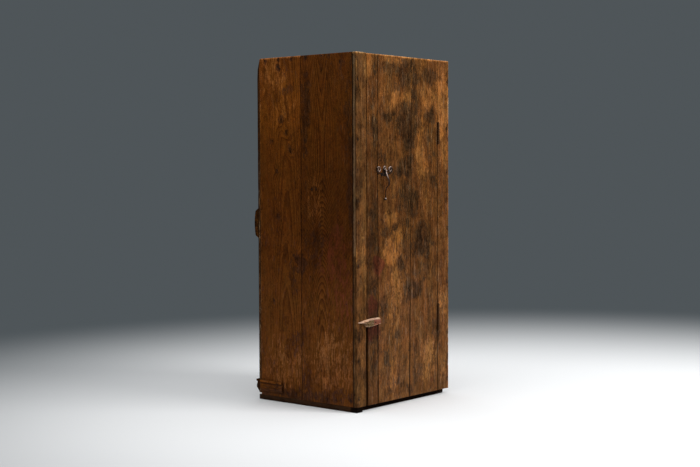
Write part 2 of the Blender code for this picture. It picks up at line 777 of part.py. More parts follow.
def build_drop_handle(axis):
    """A hanging handle: a knuckle on the pin, a leaf that bows outwards, a thin stem and a ball."""
    place = Matrix.Translation(HANDLE_PIVOT)
    mesh = loft_mesh("drop_handle", handle_sections())
    handle = link_part("drop_handle", mesh, "iron", place, axis)
    half = HANDLE_WIDTH / 2
    knuckle, ball, bore = bmesh.new(), bmesh.new(), bmesh.new()
    add_cylinder(knuckle, (-half, 0, 0), (half, 0, 0), HANDLE_KNUCKLE_RADIUS)
    ball_y = PIVOT_REACH - SEAT - BALL_CLEARANCE - BALL_RADIUS
    bmesh.ops.create_uvsphere(
        ball,
        u_segments=ROUND_SIDES,
        v_segments=LOFT_SIDES,
        radius=BALL_RADIUS,
        matrix=Matrix.Translation((0, ball_y, -HANDLE_LENGTH)),
    )
    reach = half + OVERRUN
    add_cylinder(bore, (-reach, 0, 0), (reach, 0, 0), HANDLE_PIN_RADIUS + PIN_CLEARANCE)
    steps = (("knuckle", knuckle, "UNION"), ("ball", ball, "UNION"), ("bore", bore, "DIFFERENCE"))
    for suffix, shape, operation in steps:
        name = f"drop_handle_{suffix}"
        cutter = link_cutter(name, mesh_from(shape, name))
        cutter.matrix_basis = place
        boolean(handle, cutter, operation)


def build_handle_pin(axis):
    reach = HANDLE_WIDTH / 2 + SEAT + EAR_THICKNESS
    pin = bmesh.new()
    start = HANDLE_PIVOT - Vector((reach, 0, 0))
    end = HANDLE_PIVOT + Vector((reach, 0, 0))
    add_cylinder(pin, start, end, HANDLE_PIN_RADIUS)
    link_part("handle_pin", mesh_from(pin, "handle_pin"), "iron", None, axis)


# Sections of the turn button from its tail to its blunt end: how far along it lies, its lowest and highest
# point, how far it stands out, and the chamfer of its upper edge, as shares of the button's length, height,
# thickness and full chamfer
BUTTON_SHARES = (
    (0.000, 0.60, 0.69, 0.38, 0.20),
    (0.120, 0.57, 0.73, 0.58, 0.40),
    (0.240, 0.54, 0.81, 0.84, 0.80),
    (0.285, 0.50, 0.85, 0.92, 0.90),
    (0.330, 0.16, 0.87, 0.95, 1.00),
    (0.400, 0.00, 0.90, 0.98, 1.00),
    (0.520, 0.03, 0.95, 1.00, 1.00),
    (0.700, 0.10, 0.99, 1.00, 1.00),
    (0.880, 0.19, 1.00, 0.97, 1.00),
    (0.985, 0.23, 1.00, 0.95, 1.00),
    (1.000, 0.26, 0.97, 0.92, 0.95),
)
BUTTON_NAIL_SHARE = 0.5


def build_turn_button(axis):
    """A whittled stick on one nail: broad over the door, with a thin tail that laps the stile."""
    rings = []
    for along, low, high, depth, chamfer in BUTTON_SHARES:
        x = (along - BUTTON_PIVOT_SHARE) * BUTTON_LENGTH
        low_z = (low - BUTTON_NAIL_SHARE) * BUTTON_HEIGHT
        high_z = (high - BUTTON_NAIL_SHARE) * BUTTON_HEIGHT
        face = -depth * BUTTON_THICKNESS
        cut = chamfer * BUTTON_CHAMFER
        section = ((0, low_z), (face, low_z), (face, high_z - cut), (face + cut, high_z), (0, high_z))
        rings.append([Vector((x, y, z)) for y, z in section])
    place = Matrix.Translation(BUTTON_PIVOT)
    button = link_part("turn_button", loft_mesh("turn_button", rings), "button_wood", place, axis)
    round_edges(button, EDGE / 2)


def drive_nail(name, seat, through, axis):
    """A forged nail with its head on seat, and its shank in a hole through the pieces named."""
    nail, head, hole = bmesh.new(), bmesh.new(), bmesh.new()
    point = Vector((seat.x, FRONT + NAIL_DEPTH, seat.z))
    top = seat - Vector((0, SEAT, 0))
    crown = top - Vector((0, NAIL_HEAD_RISE, 0))
    add_cylinder(nail, point, (top + crown) / 2, NAIL_RADIUS, sides=NAIL_SIDES)
    add_cylinder(head, top, crown, NAIL_HEAD_RADIUS, NAIL_RADIUS, NAIL_SIDES)
    part = link_part(name, mesh_from(nail, name), "iron", None, axis)
    boolean(part, link_cutter(f"{name}_head", mesh_from(head, f"{name}_head")), "UNION")
    bottom = point + Vector((0, SEAT, 0))
    add_cylinder(hole, bottom, crown, NAIL_RADIUS + SEAT, sides=NAIL_SIDES)
    cutter = link_cutter(f"{name}_hole", mesh_from(hole, f"{name}_hole"))
    for target in through:
        boolean(bpy.data.objects[target], cutter, "DIFFERENCE")


def build_nails(axis):
    """The nail that the button turns on, and the two that hold the scroll plate."""
    button_face = BUTTON_PIVOT - Vector((0, BUTTON_THICKNESS, 0))
    drive_nail("button_nail", button_face, ("door_board_1", "turn_button"), axis)
    plate_face = FRONT - SEAT - PLATE_THICKNESS
    for side, label in ((-1, "left"), (1, "right")):
        seat = Vector((HANDLE_PIVOT.x + side * LOBE_SPACING / 2, plate_face, LOBE_Z))
        drive_nail(f"plate_{label}_nail", seat, ("door_board_2", "scroll_plate"), axis)


def shade_parts():
    for part in bpy.data.collections["folk_art_cabinet"].objects:
        if part.type == "MESH":
            part.data.shade_smooth()
            part.data.set_sharp_from_angle(angle=SMOOTH_ANGLE)


def main():
    clear_scene()
    collection("folk_art_cabinet")
    collection("cutters")
    make_finishes()
    build_sides()
    build_panel("top", CEILING, TOP_THICKNESS, SIDE_FRONT, TOP_JOINT_SHARE, "side_wood")
    build_panel("bottom", FLOOR_BOTTOM, BOTTOM_THICKNESS, SIDE_FRONT, TOP_JOINT_SHARE, "inner_wood")
    build_base()
    build_shelves()
    build_back()
    build_mouldings()
    build_stiles()
    door = joint_axis("door_axis", (HINGE_X, HINGE_Y, 0))
    build_door(door)
    build_hinge("upper", UPPER_HINGE_Z, UPPER_HINGE_HEIGHT, door)
    build_hinge("lower", LOWER_HINGE_Z, LOWER_HINGE_HEIGHT, door)
    build_scroll_plate(door)
    build_handle_pin(door)
    build_drop_handle(joint_axis("handle_axis", HANDLE_PIVOT))
    build_turn_button(joint_axis("button_axis", BUTTON_PIVOT))
    build_nails(door)
    shade_parts()


main()
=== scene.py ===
"""Looks of the folk art cabinet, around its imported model.

Every length is in metres, in the cabinet's own frame: the front faces -Y, +Z is up and -X is on the left of
someone who looks at the front.
"""

import json
import math
import random
from dataclasses import dataclass

import bmesh
import bpy
import numpy as np
from mathutils import Matrix, Vector, noise
from mathutils.bvhtree import BVHTree


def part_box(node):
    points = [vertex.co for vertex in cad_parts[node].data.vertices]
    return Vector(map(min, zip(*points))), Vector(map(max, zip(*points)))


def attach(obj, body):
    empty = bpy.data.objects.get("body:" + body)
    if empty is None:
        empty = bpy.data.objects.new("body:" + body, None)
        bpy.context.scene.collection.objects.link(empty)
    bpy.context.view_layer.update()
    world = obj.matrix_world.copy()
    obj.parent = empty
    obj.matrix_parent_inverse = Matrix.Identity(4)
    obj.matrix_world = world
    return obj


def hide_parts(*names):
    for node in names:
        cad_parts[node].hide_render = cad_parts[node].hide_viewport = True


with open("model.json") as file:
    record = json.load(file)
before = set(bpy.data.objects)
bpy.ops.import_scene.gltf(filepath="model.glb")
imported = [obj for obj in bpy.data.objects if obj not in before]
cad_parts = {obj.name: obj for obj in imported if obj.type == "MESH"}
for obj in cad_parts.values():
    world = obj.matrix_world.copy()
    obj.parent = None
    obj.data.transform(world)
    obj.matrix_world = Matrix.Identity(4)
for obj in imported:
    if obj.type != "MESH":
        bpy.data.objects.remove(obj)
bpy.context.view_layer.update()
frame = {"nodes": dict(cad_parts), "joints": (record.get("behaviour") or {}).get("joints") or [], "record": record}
SLOTS = {row["node"]: row["material_slot"] for row in frame["record"]["subparts"]}
BODIES = {node: body for body, nodes in frame["record"]["behaviour"]["bodies"].items() for node in nodes}

# The axes, as places in a point
X, Y, Z = 0, 1, 2

# The camera stands where the photograph was taken from
CAMERA_PLACE = (-4.802, -3.979, 1.086)
CAMERA_YAW = -50.16
CAMERA_PITCH = -2.83
CAMERA_ROLL = -0.221
CAMERA_LENS = 67.43
CAMERA_SENSOR = 36.0

# The floor fades into the backdrop between these distances from the middle of its lit pool
FLOOR_COLOUR = (0.89, 0.892, 0.895)
BACKDROP_COLOUR = (0.078, 0.091, 0.099)
POOL_CENTRE = (0.38, -0.82, 0.0)
FADE_START = 0.95
FADE_END = 4.3
FLOOR_RADIUS = 30.0
SKY_COLOUR = (0.93, 0.97, 1.0)
SKY_STRENGTH = 0.42

# The lamps: name, place, what it points at, size of its side and power
LAMPS = (
    ("key", (1.2, -4.2, 3.4), (0.0, -0.3, 0.8), 2.4, 190),
    ("fill", (-4.5, 0.4, 2.2), (-0.3, 0.0, 0.8), 2.4, 60),
    ("top", (0.0, 0.0, 4.2), (0.0, 0.0, 0.0), 3.0, 70),
)

# Places that several pieces share, read from the frame
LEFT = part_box("left_stile")[0].x
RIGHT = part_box("right_stile")[1].x
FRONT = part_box("left_stile")[0].y
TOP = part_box("left_stile")[1].z

# Meshing of the boards
FINE_STEP = 0.009
BASE_STEP = 0.012
MIDDLE_STEP = 0.014
COARSE_STEP = 0.022
ARC_POINTS = 4
END_ROUNDING = 0.0022
END_ANGLES = (0.5, 1.1)
END_STEPS = (0.0, 0.0022, 0.0050)
# Wear fading away from an end; on the front's top ends it is also a painted highlight on the rounded edge
END_WEAR = (1.0, 1.0, 1.0, 0.95, 0.70, 0.42)
# How deep the saw and knocks have bitten into the ends
END_BITE = 0.0014
EDGE_ROOM = 0.0075
CUP = 0.0004
PLAIN_ROUNDING = 0.0016
# Boards within this distance behind the front or the left side carry the marks drawn there
MARKED_DEPTH = 0.03
# Between these distances to the right of the middle the iron turns browner, as the hinges are
HINGE_EDGES = (0.15, 0.20)
# The left stile's side is painted darker, as shade, up to this distance from the corner
STILE_SHADED_SIDE = 0.0012
# The boards are dirty up to this height above the floor
FLOOR_DIRT = 0.07
# Length of the runners' front ends, which are painted near black as the shadow they lie in
SHADED_RUNNER_END = 0.035

# How much greyer the outside is painted at a height, for the cool light bounced from the pale floor: height,
# and how many times more green and blue it has there
TINTS = {
    "left_side": (
        (0.10, 1.14, 2.60), (0.45, 1.16, 2.60), (0.70, 1.03, 1.80), (1.00, 1.02, 1.50), (1.30, 1.02, 1.25),
        (1.50, 1.04, 1.65),
    ),
    "side_moulding": ((0.00, 1.10, 2.00),),
    "door_board": ((0.10, 1.09, 1.36), (0.50, 1.07, 1.28), (0.80, 1.00, 0.96)),
    "right_stile": ((0.10, 1.08, 1.30), (0.50, 1.06, 1.30), (0.80, 1.00, 1.02)),
    "left_stile": ((0.10, 1.02, 1.05), (0.50, 0.99, 0.97)),
}
PLAIN_TINT = ((0.0, 1.0, 1.0),)


class Nodes:
    """Builds a material's nodes with short calls, most of which return the new node's output."""

    def __init__(self, tree):
        self.tree = tree
        self.link = tree.links.new

    def put(self, kind, inputs=(), output=0, **settings):
        node = self.tree.nodes.new(kind)
        for name, value in settings.items():
            setattr(node, name, value)
        for key, value in dict(inputs).items():
            socket = node.inputs[key]
            if isinstance(value, bpy.types.NodeSocket):
                self.link(value, socket)
            else:
                socket.default_value = value
        return node.outputs[output]

    def attribute(self, name, output="Vector"):
        return self.put("ShaderNodeAttribute", output=output, attribute_name=name)

    def math(self, operation, first, second=0.0, third=0.0, clamp=False):
        inputs = {0: first, 1: second, 2: third}
        return self.put("ShaderNodeMath", inputs, operation=operation, use_clamp=clamp)

    def weighed(self, start, *terms):
        """A value with others added to it, each given with its weight."""
        for value, weight in terms:
            start = self.math("MULTIPLY_ADD", value, weight, start)
        return start

    def stirred(self, start, *noises):
        """A value that noises move up and down, each given with how far it swings."""
        for value, amount in noises:
            shift = self.math("MULTIPLY_ADD", value, 2 * amount, -amount)
            start = self.math("ADD", start, shift)
        return start

    def step(self, value, low, high):
        """0 below low, 1 above high, and a smooth rise between."""
        inputs = {"Value": value, "From Min": low, "From Max": high}
        return self.put("ShaderNodeMapRange", inputs, interpolation_type="SMOOTHSTEP")

    def scaled(self, vector, scale):
        return self.put("ShaderNodeVectorMath", {0: vector, 1: scale}, operation="MULTIPLY")

    def noise(self, vector, along, across, detail=3.0, roughness=0.5):
        """Noise with its own scale along the grain, which is the vector's first coordinate, and across it."""
        vector = self.scaled(vector, (along, across, across))
        inputs = {"Vector": vector, "Scale": 1.0, "Detail": detail, "Roughness": roughness}
        return self.put("ShaderNodeTexNoise", inputs)

    def spots(self, vector, along, across, share, near, far):
        """Scattered spots, one in some of the cells of a grid: share says in how many."""
        inputs = {"Vector": self.scaled(vector, (along, across, across)), "Scale": 1.0}
        distance, colour = self.put("ShaderNodeTexVoronoi", inputs).node.outputs[:2]
        chosen = self.math("LESS_THAN", self.parts(colour)[0], share)
        return self.math("MULTIPLY", self.math("SUBTRACT", 1.0, self.step(distance, near, far)), chosen)

    def mix(self, share, first, second, strength=1.0):
        """The first colour with a share of the second over it, weakened by strength."""
        if strength != 1.0:
            share = self.math("MULTIPLY", share, strength)
        colours = [
            value if isinstance(value, bpy.types.NodeSocket) else (*value, 1.0) for value in (first, second)
        ]
        return self.put("ShaderNodeMix", {0: share, 6: colours[0], 7: colours[1]}, output=2, data_type="RGBA")

    def ramp(self, value, stops):
        socket = self.put("ShaderNodeValToRGB", {0: value})
        elements = socket.node.color_ramp.elements
        while len(elements) < len(stops):
            elements.new(0.5)
        for element, (place, colour) in zip(elements, stops):
            element.position = place
            element.color = (*colour, 1.0)
        return socket

    def parts(self, vector):
        return self.put("ShaderNodeSeparateXYZ", {0: vector}).node.outputs

    def bump(self, height, distance, strength):
        inputs = {"Height": height, "Distance": distance, "Strength": strength}
        return self.put("ShaderNodeBump", inputs)


def new_material(name):
    material = bpy.data.materials.new(name)
    material.use_nodes = True
    tree = material.node_tree
    shader = tree.nodes["Principled BSDF"]
    return material, Nodes(tree), shader


# Palettes of the woods: light, middle and dark of the grain, the rubbed honey tone, two tones of grime, the
# red stain, holes and worn edges, whose colour is also the painted highlight of the front's top edges; then
# the roughness and how much each kind of unevenness shows
PALETTES = {
    "side_wood": dict(
        grain=((0.118, 0.0350, 0.0030), (0.074, 0.0200, 0.0014), (0.034, 0.0082, 0.0006)),
        honey=(0.170, 0.0570, 0.0082), grime=((0.018, 0.0056, 0.0010), (0.032, 0.0110, 0.0026)),
        stain=(0.074, 0.0160, 0.0030), hole=(0.0130, 0.0042, 0.0004), worn=(0.230, 0.098, 0.026),
        roughness=0.58, variety=0.85, patches=0.55, flow=0.45, hues=0.30, lines=0.60, scratches=0.10,
    ),
    "front_wood": dict(
        grain=((0.188, 0.0720, 0.0180), (0.105, 0.0380, 0.0090), (0.044, 0.0145, 0.0036)),
        honey=(0.258, 0.0990, 0.0225), grime=((0.021, 0.0092, 0.0032), (0.038, 0.0190, 0.0080)),
        stain=(0.084, 0.0200, 0.0076), hole=(0.0100, 0.0048, 0.0022), worn=(0.400, 0.235, 0.118),
        roughness=0.60, variety=1.25, patches=0.95, flow=1.0, hues=0.42, lines=0.9, scratches=0.35,
    ),
    "stile_wood": dict(
        grain=((0.184, 0.0800, 0.0240), (0.105, 0.0425, 0.0118), (0.042, 0.0148, 0.0038)),
        honey=(0.240, 0.108, 0.0300), grime=((0.026, 0.0094, 0.0026), (0.050, 0.0222, 0.0074)),
        stain=(0.080, 0.018, 0.011), hole=(0.0100, 0.0048, 0.0022), worn=(0.360, 0.220, 0.115),
        roughness=0.62, variety=1.0, patches=1.3, flow=0.8, hues=0.40, lines=0.55, scratches=0.20,
    ),
    "inner_wood": dict(
        grain=((0.330, 0.205, 0.105), (0.260, 0.150, 0.070), (0.150, 0.078, 0.034)),
        honey=(0.360, 0.220, 0.105), grime=((0.100, 0.058, 0.029), (0.120, 0.082, 0.050)),
        stain=(0.150, 0.060, 0.030), hole=(0.0200, 0.0110, 0.0060), worn=(0.420, 0.290, 0.170),
        roughness=0.75, variety=0.35, patches=0.4, flow=1.0, hues=0.3, lines=1.0, scratches=0.0,
    ),
    "base_wood": dict(
        grain=((0.085, 0.0310, 0.0080), (0.054, 0.0185, 0.0046), (0.027, 0.0090, 0.0024)),
        honey=(0.110, 0.048, 0.014), grime=((0.010, 0.005, 0.0026), (0.020, 0.012, 0.0070)),
        stain=(0.040, 0.014, 0.006), hole=(0.0080, 0.0045, 0.0025), worn=(0.130, 0.070, 0.030),
        roughness=0.72, variety=0.8, patches=0.8, flow=1.0, hues=0.5, lines=0.8, scratches=0.0,
    ),
    "button_wood": dict(
        grain=((0.560, 0.360, 0.235), (0.420, 0.245, 0.150), (0.210, 0.100, 0.060)),
        honey=(0.620, 0.410, 0.270), grime=((0.038, 0.021, 0.007), (0.086, 0.054, 0.018)),
        stain=(0.150, 0.044, 0.026), hole=(0.0200, 0.0110, 0.0060), worn=(0.700, 0.500, 0.360),
        roughness=0.66, variety=0.5, patches=0.3, flow=1.0, hues=0.4, lines=0.8, scratches=0.0,
    ),
}
# Grain of bare wood, for faces that were never finished
BARE_GRAIN = ((0.300, 0.185, 0.095), (0.225, 0.128, 0.060), (0.120, 0.062, 0.028))
# Where the light, the middle and the dark of a grain lie, from 0 to 1
GRAIN_STOPS = (0.0, 0.40, 0.85)
# How dark a growth ring is, from the end of one year's wood to the end of the next
RING_STOPS = ((0.0, 0.06), (0.45, 0.22), (0.80, 0.80), (0.93, 1.0), (1.0, 0.06))
# Two slow changes of hue, each with its two ends
HUES = (((1.11, 0.99, 0.78), (0.92, 1.01, 1.22)), ((1.05, 0.95, 1.00), (0.96, 1.05, 0.97)))


def build_wood(slot, palette):
    """Old softwood: fibres and rings from each board's coordinates, under grime, rubs and stains, and painted
    light and shade.
    """
    material, n, shader = new_material(slot)
    grain = n.attribute("grain")
    ring = n.attribute("ring", "Fac")
    grime, honey, stain = n.parts(n.attribute("marks"))
    level, pores, bare = n.parts(n.attribute("tone"))
    wear, dirt_and_shade, contrast = n.parts(n.attribute("edge"))

    streak = n.noise(grain, 13.0, 150.0, 3.0, 0.6)
    fibre = n.noise(grain, 34.0, 560.0, 3.0, 0.6)
    hair = n.noise(grain, 60.0, 1600.0, 2.0)
    blotch = n.noise(grain, 6.0, 15.0)
    mottle = n.noise(grain, 30.0, 62.0, 5.0, 0.68)
    speck = n.noise(grain, 150.0, 320.0, 3.0, 0.6)
    fine = n.noise(grain, 88.0, 175.0, 3.0, 0.65)
    flake = n.step(n.stirred(n.noise(grain, 60.0, 105.0, 6.0, 0.75), (streak, 0.35)), 0.44, 0.56)
    patch = n.noise(grain, 16.0, 32.0, 4.0, 0.6)
    hue = n.noise(grain, 21.0, 44.0, 3.0, 0.6)
    broad = n.noise(grain, 8.0, 21.0)

    # Grain
    flow, lines = palette["flow"], palette["lines"]
    phase = n.stirred(ring, (blotch, 0.70 * flow), (streak, 0.35 * flow), (mottle, 0.25 * flow))
    late = n.ramp(n.math("FRACT", phase), [(place, (tone,) * 3) for place, tone in RING_STOPS])
    late = n.math("MULTIPLY", late, contrast)
    depth = n.math("MULTIPLY_ADD", late, 0.62, 0.24)
    depth = n.stirred(depth, (streak, 0.85 * lines), (fibre, 0.55 * lines), (hair, 0.35), (mottle, 0.60))
    wood, plain = [
        n.ramp(depth, [*zip(GRAIN_STOPS, colours), (1.0, colours[2])])
        for colours in (palette["grain"], BARE_GRAIN)
    ]

    # Wood rubbed to honey
    rubbed = n.step(n.stirred(honey, (mottle, 1.4), (streak, 1.0)), 0.38, 0.72)
    warm = n.mix(n.math("MULTIPLY", depth, 0.9, clamp=True), palette["honey"], palette["grain"][1])
    wood = n.mix(rubbed, wood, warm)

    # Smudges and grime
    cover = n.stirred(grime, (mottle, 1.7), (blotch, 0.5), (streak, 0.9), (fibre, 0.3))
    cover = n.step(cover, 0.44, 0.60)
    dull = n.mix(n.step(n.stirred(mottle, (speck, 0.3)), 0.42, 0.58), *palette["grime"])
    dull = n.mix(n.step(n.stirred(fibre, (streak, 0.6)), 0.52, 0.72), dull, palette["grain"][1], 0.6)
    smudge = n.stirred(n.noise(grain, 46.0, 100.0, 4.0, 0.7), (streak, 0.5), (blotch, 0.4))
    smudge = n.step(n.weighed(smudge, (grime, 0.25)), 0.58, 0.70)
    wood = n.mix(smudge, wood, palette["grain"][2], 0.65)
    wood = n.mix(cover, wood, dull, 0.90)
    if palette["scratches"]:
        scratch = n.step(n.noise(grain, 9.0, 380.0, 2.0), 0.62, 0.70)
        wood = n.mix(scratch, wood, palette["worn"], palette["scratches"])

    # Red stain, bare wood and holes
    tint = n.step(n.stirred(stain, (mottle, 0.8), (streak, 0.6)), 0.30, 0.95)
    wood = n.mix(tint, wood, palette["stain"], 0.90)
    wood = n.mix(bare, wood, plain)
    wood = n.mix(n.step(grime, 1.15, 1.9), wood, palette["hole"])

    # Soiling and painted shade along the edges, and wear, which on the front's top edges is also a painted
    # highlight
    soil_and_shade = n.step(n.stirred(dirt_and_shade, (mottle, 0.6), (speck, 0.3)), 0.30, 0.85)
    wood = n.mix(soil_and_shade, wood, palette["grime"][0], 0.94)
    rub = n.step(n.stirred(wear, (mottle, 0.5), (fibre, 0.3)), 0.22, 0.85)
    edge = tuple(1.25 * part for part in palette["honey"])
    edge = n.mix(n.step(wear, 0.60, 1.0), edge, palette["worn"])
    wood = n.mix(rub, wood, edge, 0.9)

    # Worm holes and short dark dashes
    pit = n.spots(grain, 150.0, 190.0, pores, 0.16, 0.27)
    wood = n.mix(pit, wood, palette["hole"], 0.85)
    dash = n.spots(grain, 38.0, 95.0, n.math("MULTIPLY", pores, 1.6), 0.12, 0.24)
    wood = n.mix(dash, wood, palette["hole"], 0.8)

    # Unevenness of tone and hue
    variety = palette["variety"]
    uneven = n.stirred(
        0.0, (streak, 0.50 * variety), (mottle, 0.95 * variety), (patch, palette["patches"]),
        (fine, 0.60 * variety), (flake, 0.10 * variety), (hair, 0.20), (speck, 0.20),
    )
    uneven = n.math("MULTIPLY_ADD", uneven, n.math("MULTIPLY_ADD", bare, -0.6, 1.0), 1.0)
    # The level from the tone is the painted shade on the left stile's side, and 1 elsewhere
    gain = n.math("MULTIPLY", level, n.math("MAXIMUM", uneven, 0.30))
    wood = n.put("ShaderNodeVectorMath", {0: wood, "Scale": gain}, operation="SCALE")
    for value, ends in zip((hue, broad), HUES):
        warmer, cooler = [tuple(1 + palette["hues"] * (part - 1) for part in colour) for colour in ends]
        wood = n.scaled(wood, n.mix(n.step(value, 0.36, 0.64), warmer, cooler))
    # The shade attribute brings in painted light and shade: levels, tints and the runners' shadowed front ends
    n.link(n.scaled(wood, n.attribute("shade")), shader.inputs["Base Color"])
    shader.inputs["Specular IOR Level"].default_value = 0.02

    # Gloss and relief
    gloss = n.math("ADD", n.stirred(0.0, (mottle, 0.15), (hair, 0.12)), palette["roughness"])
    gloss = n.math("MULTIPLY_ADD", cover, -0.08, gloss, clamp=True)
    n.link(gloss, shader.inputs["Roughness"])
    height = n.weighed(
        0.0, (hair, 0.30), (fibre, 0.45), (late, 0.25), (mottle, 0.60), (pit, -1.4), (dash, -1.0)
    )
    n.link(n.bump(height, 0.0009, 0.8), shader.inputs["Normal"])
    return material


def build_iron():
    """Forged iron: dark brown scale and rust, with a painted highlight where the piece's own rub attribute says.
    """
    material, n, shader = new_material("iron")
    place = n.put("ShaderNodeTexCoord", output="Object")
    rough = n.noise(place, 260.0, 260.0, 4.0, 0.6)
    broad = n.noise(place, 55.0, 55.0)
    dents = n.noise(place, 140.0, 140.0, 2.0)
    scale = n.mix(n.step(broad, 0.35, 0.65), (0.0085, 0.0052, 0.0038), (0.022, 0.0125, 0.0082))
    hinges = n.step(n.parts(place)[0], *HINGE_EDGES)
    scale = n.mix(hinges, scale, (0.050, 0.0225, 0.0085))
    rust = n.step(n.stirred(rough, (broad, 0.5)), 0.54, 0.74)
    colour = n.mix(rust, scale, (0.056, 0.021, 0.009), 0.6)
    # The rub attribute is a painted highlight, on the faces that look towards the light
    painted_highlight = n.step(n.stirred(n.attribute("rub", "Fac"), (rough, 0.4)), 0.38, 0.92)
    colour = n.mix(painted_highlight, colour, (0.470, 0.345, 0.290), 0.9)
    n.link(colour, shader.inputs["Base Color"])
    n.link(n.math("MULTIPLY_ADD", rust, -0.08, 0.12), shader.inputs["Metallic"])
    dull = n.stirred(n.weighed(0.52, (rust, 0.25), (painted_highlight, -0.12)), (rough, 0.10))
    n.link(dull, shader.inputs["Roughness"])
    shader.inputs["Specular IOR Level"].default_value = 0.06
    n.link(n.bump(n.weighed(dents, (rough, 0.5)), 0.0007, 0.7), shader.inputs["Normal"])
    return material


MATERIALS = {slot: build_wood(slot, palette) for slot, palette in PALETTES.items()}
MATERIALS["iron"] = build_iron()


@dataclass
class Board:
    """What one board looks like: how it lies, which face shows, how its grain runs and how worn it is.

    Its corners are numbered round the section: 0 is low across and low in thickness, 1 is high across and
    low in thickness, 2 is high in both and 3 is low across and high in thickness.
    """

    node: str
    along: int  # axis of its length
    thick: int  # axis of its thickness
    outer: str  # which wide face shows: low, high, all or none
    step: float = COARSE_STEP  # distance between its mesh's points
    heart: float = 0.5  # the pith's place across, as a share of the width
    depth: float = 0.06  # how far outside the low face the pith lies
    taper: float = 0.02  # how fast the rings grow along the board
    rise: tuple = ()  # where the rings swell: place, reach down, reach up, amount
    rings: float = 150.0  # growth rings in a metre
    contrast: float = 0.8  # how dark the rings' late wood is
    levels: tuple = ((0.0, 1.0),)  # height and how light the wood is there: its own tone together with painted light and shade
    pores: float = 0.02  # how many worm holes there are
    grime: float = 0.12  # grime all over the board
    wear: float = 1.0  # how knocked its edges and ends are
    ends: tuple = (0.3, 0.6)  # how rubbed the low and the high end are; the high end also carries a painted highlight
    knots: tuple = ()  # place across, place along, radius
    splits: tuple = ()  # share of the width, from, to, half width, depth
    rubs: tuple = ()  # corner, from, to, strength
    seams: tuple = ()  # corner, from, to, added dirt
    open: tuple = ()  # corners that are rubbed, with no board beside them
    free: tuple = ()  # corners that are neither rubbed nor dirty
    side_dirt: float = 0.9  # dirt on its two thin sides
    rounding: tuple = ()  # corners that aren't rounded like the rest: corner, radius

    def __post_init__(self):
        self.across = X + Y + Z - self.along - self.thick
        self.slot, self.body = SLOTS[self.node], BODIES[self.node]
        self.seed = sum(map(ord, self.node)) * 0.377


def slice_ranges(node, axis, places):
    """The lowest and highest corner of a node's slices across one axis."""
    mesh = frame["nodes"][node].data
    ends = mesh_points(mesh)[np.array([edge.vertices for edge in mesh.edges])]
    ends = ends[ends[:, 0, axis] != ends[:, 1, axis]]
    start, end = ends[:, 0], ends[:, 1]
    lows, highs = [], []
    for place in places:
        share = (place - start[:, axis]) / (end[:, axis] - start[:, axis])
        cut = (share >= 0) & (share <= 1)
        crossing = start[cut] + (end[cut] - start[cut]) * share[cut, None]
        lows.append(crossing.min(0))
        highs.append(crossing.max(0))
    return np.array(lows), np.array(highs)


def swing(*place):
    """Smooth noise from -1 to 1."""
    return noise.noise(Vector(place))


def swings(*places):
    """The same noise at a row of places, given by their coordinates; one may be the same for all."""
    return np.array([swing(*place) for place in np.broadcast(*places)])


def stations(low, high, step):
    """Places along a board and how far its section draws in there, for rounded ends."""
    starts = [(0.0, END_ROUNDING)]
    for angle in END_ANGLES:
        starts.append((END_ROUNDING * (1 - math.cos(angle)), END_ROUNDING * (1 - math.sin(angle))))
    starts += [(END_ROUNDING + extra, 0.0) for extra in END_STEPS]
    far = starts[-1][0]
    count = max(3, round((high - low - 2 * far) / step))
    rows = [(low + reach, inset) for reach, inset in starts]
    rows += [(place, 0.0) for place in np.linspace(low + far, high - far, count + 1)[1:-1]]
    rows += [(high - reach, inset) for reach, inset in starts[::-1]]
    return np.array(rows)


def corner_radii(board, corner, places):
    """Radii of one worn long edge along it: a steady rub, slow swells and a few short chips."""
    rounding = dict(board.rounding).get(corner, PLAIN_ROUNDING)
    rub = rounding * (0.75 + 0.5 * swings(places * 7, corner * 19.7, board.seed))
    slow = np.maximum(0.0, swings(places * 2.3, corner * 7.7, board.seed + 40)) * 0.0014
    chip = np.maximum(0.0, swings(places * 34, corner * 13.1, board.seed + 90) - 0.34) * 0.012
    return rub + (slow + chip) * board.wear


def loop_columns(shares):
    """What each point round a section is: a point of a wide face, of a corner's arc or of a thin side."""
    angles = np.linspace(0, math.pi / 2, ARC_POINTS)
    columns = [("low", share) for share in shares]
    columns += [(1, angle) for angle in angles] + [("right", 0)] + [(2, angle) for angle in angles[::-1]]
    columns += [("high", share) for share in shares[::-1]]
    columns += [(3, angle) for angle in angles] + [("left", 0)] + [(0, angle) for angle in angles[::-1]]
    return columns


def face_shares(board, width):
    """Where the points of a wide face lie across it, with three more at each split."""
    room = min(EDGE_ROOM, width * 0.3)
    count = max(2, round((width - 2 * room) / board.step) + 1)
    shares = list(np.linspace(room / width, 1 - room / width, count))
    for centre, _, _, half_width, _ in board.splits:
        reach = half_width / width
        shares = [share for share in shares if abs(share - centre) > 2.2 * reach]
        shares += [centre - reach, centre, centre + reach]
    return np.array(sorted(shares))


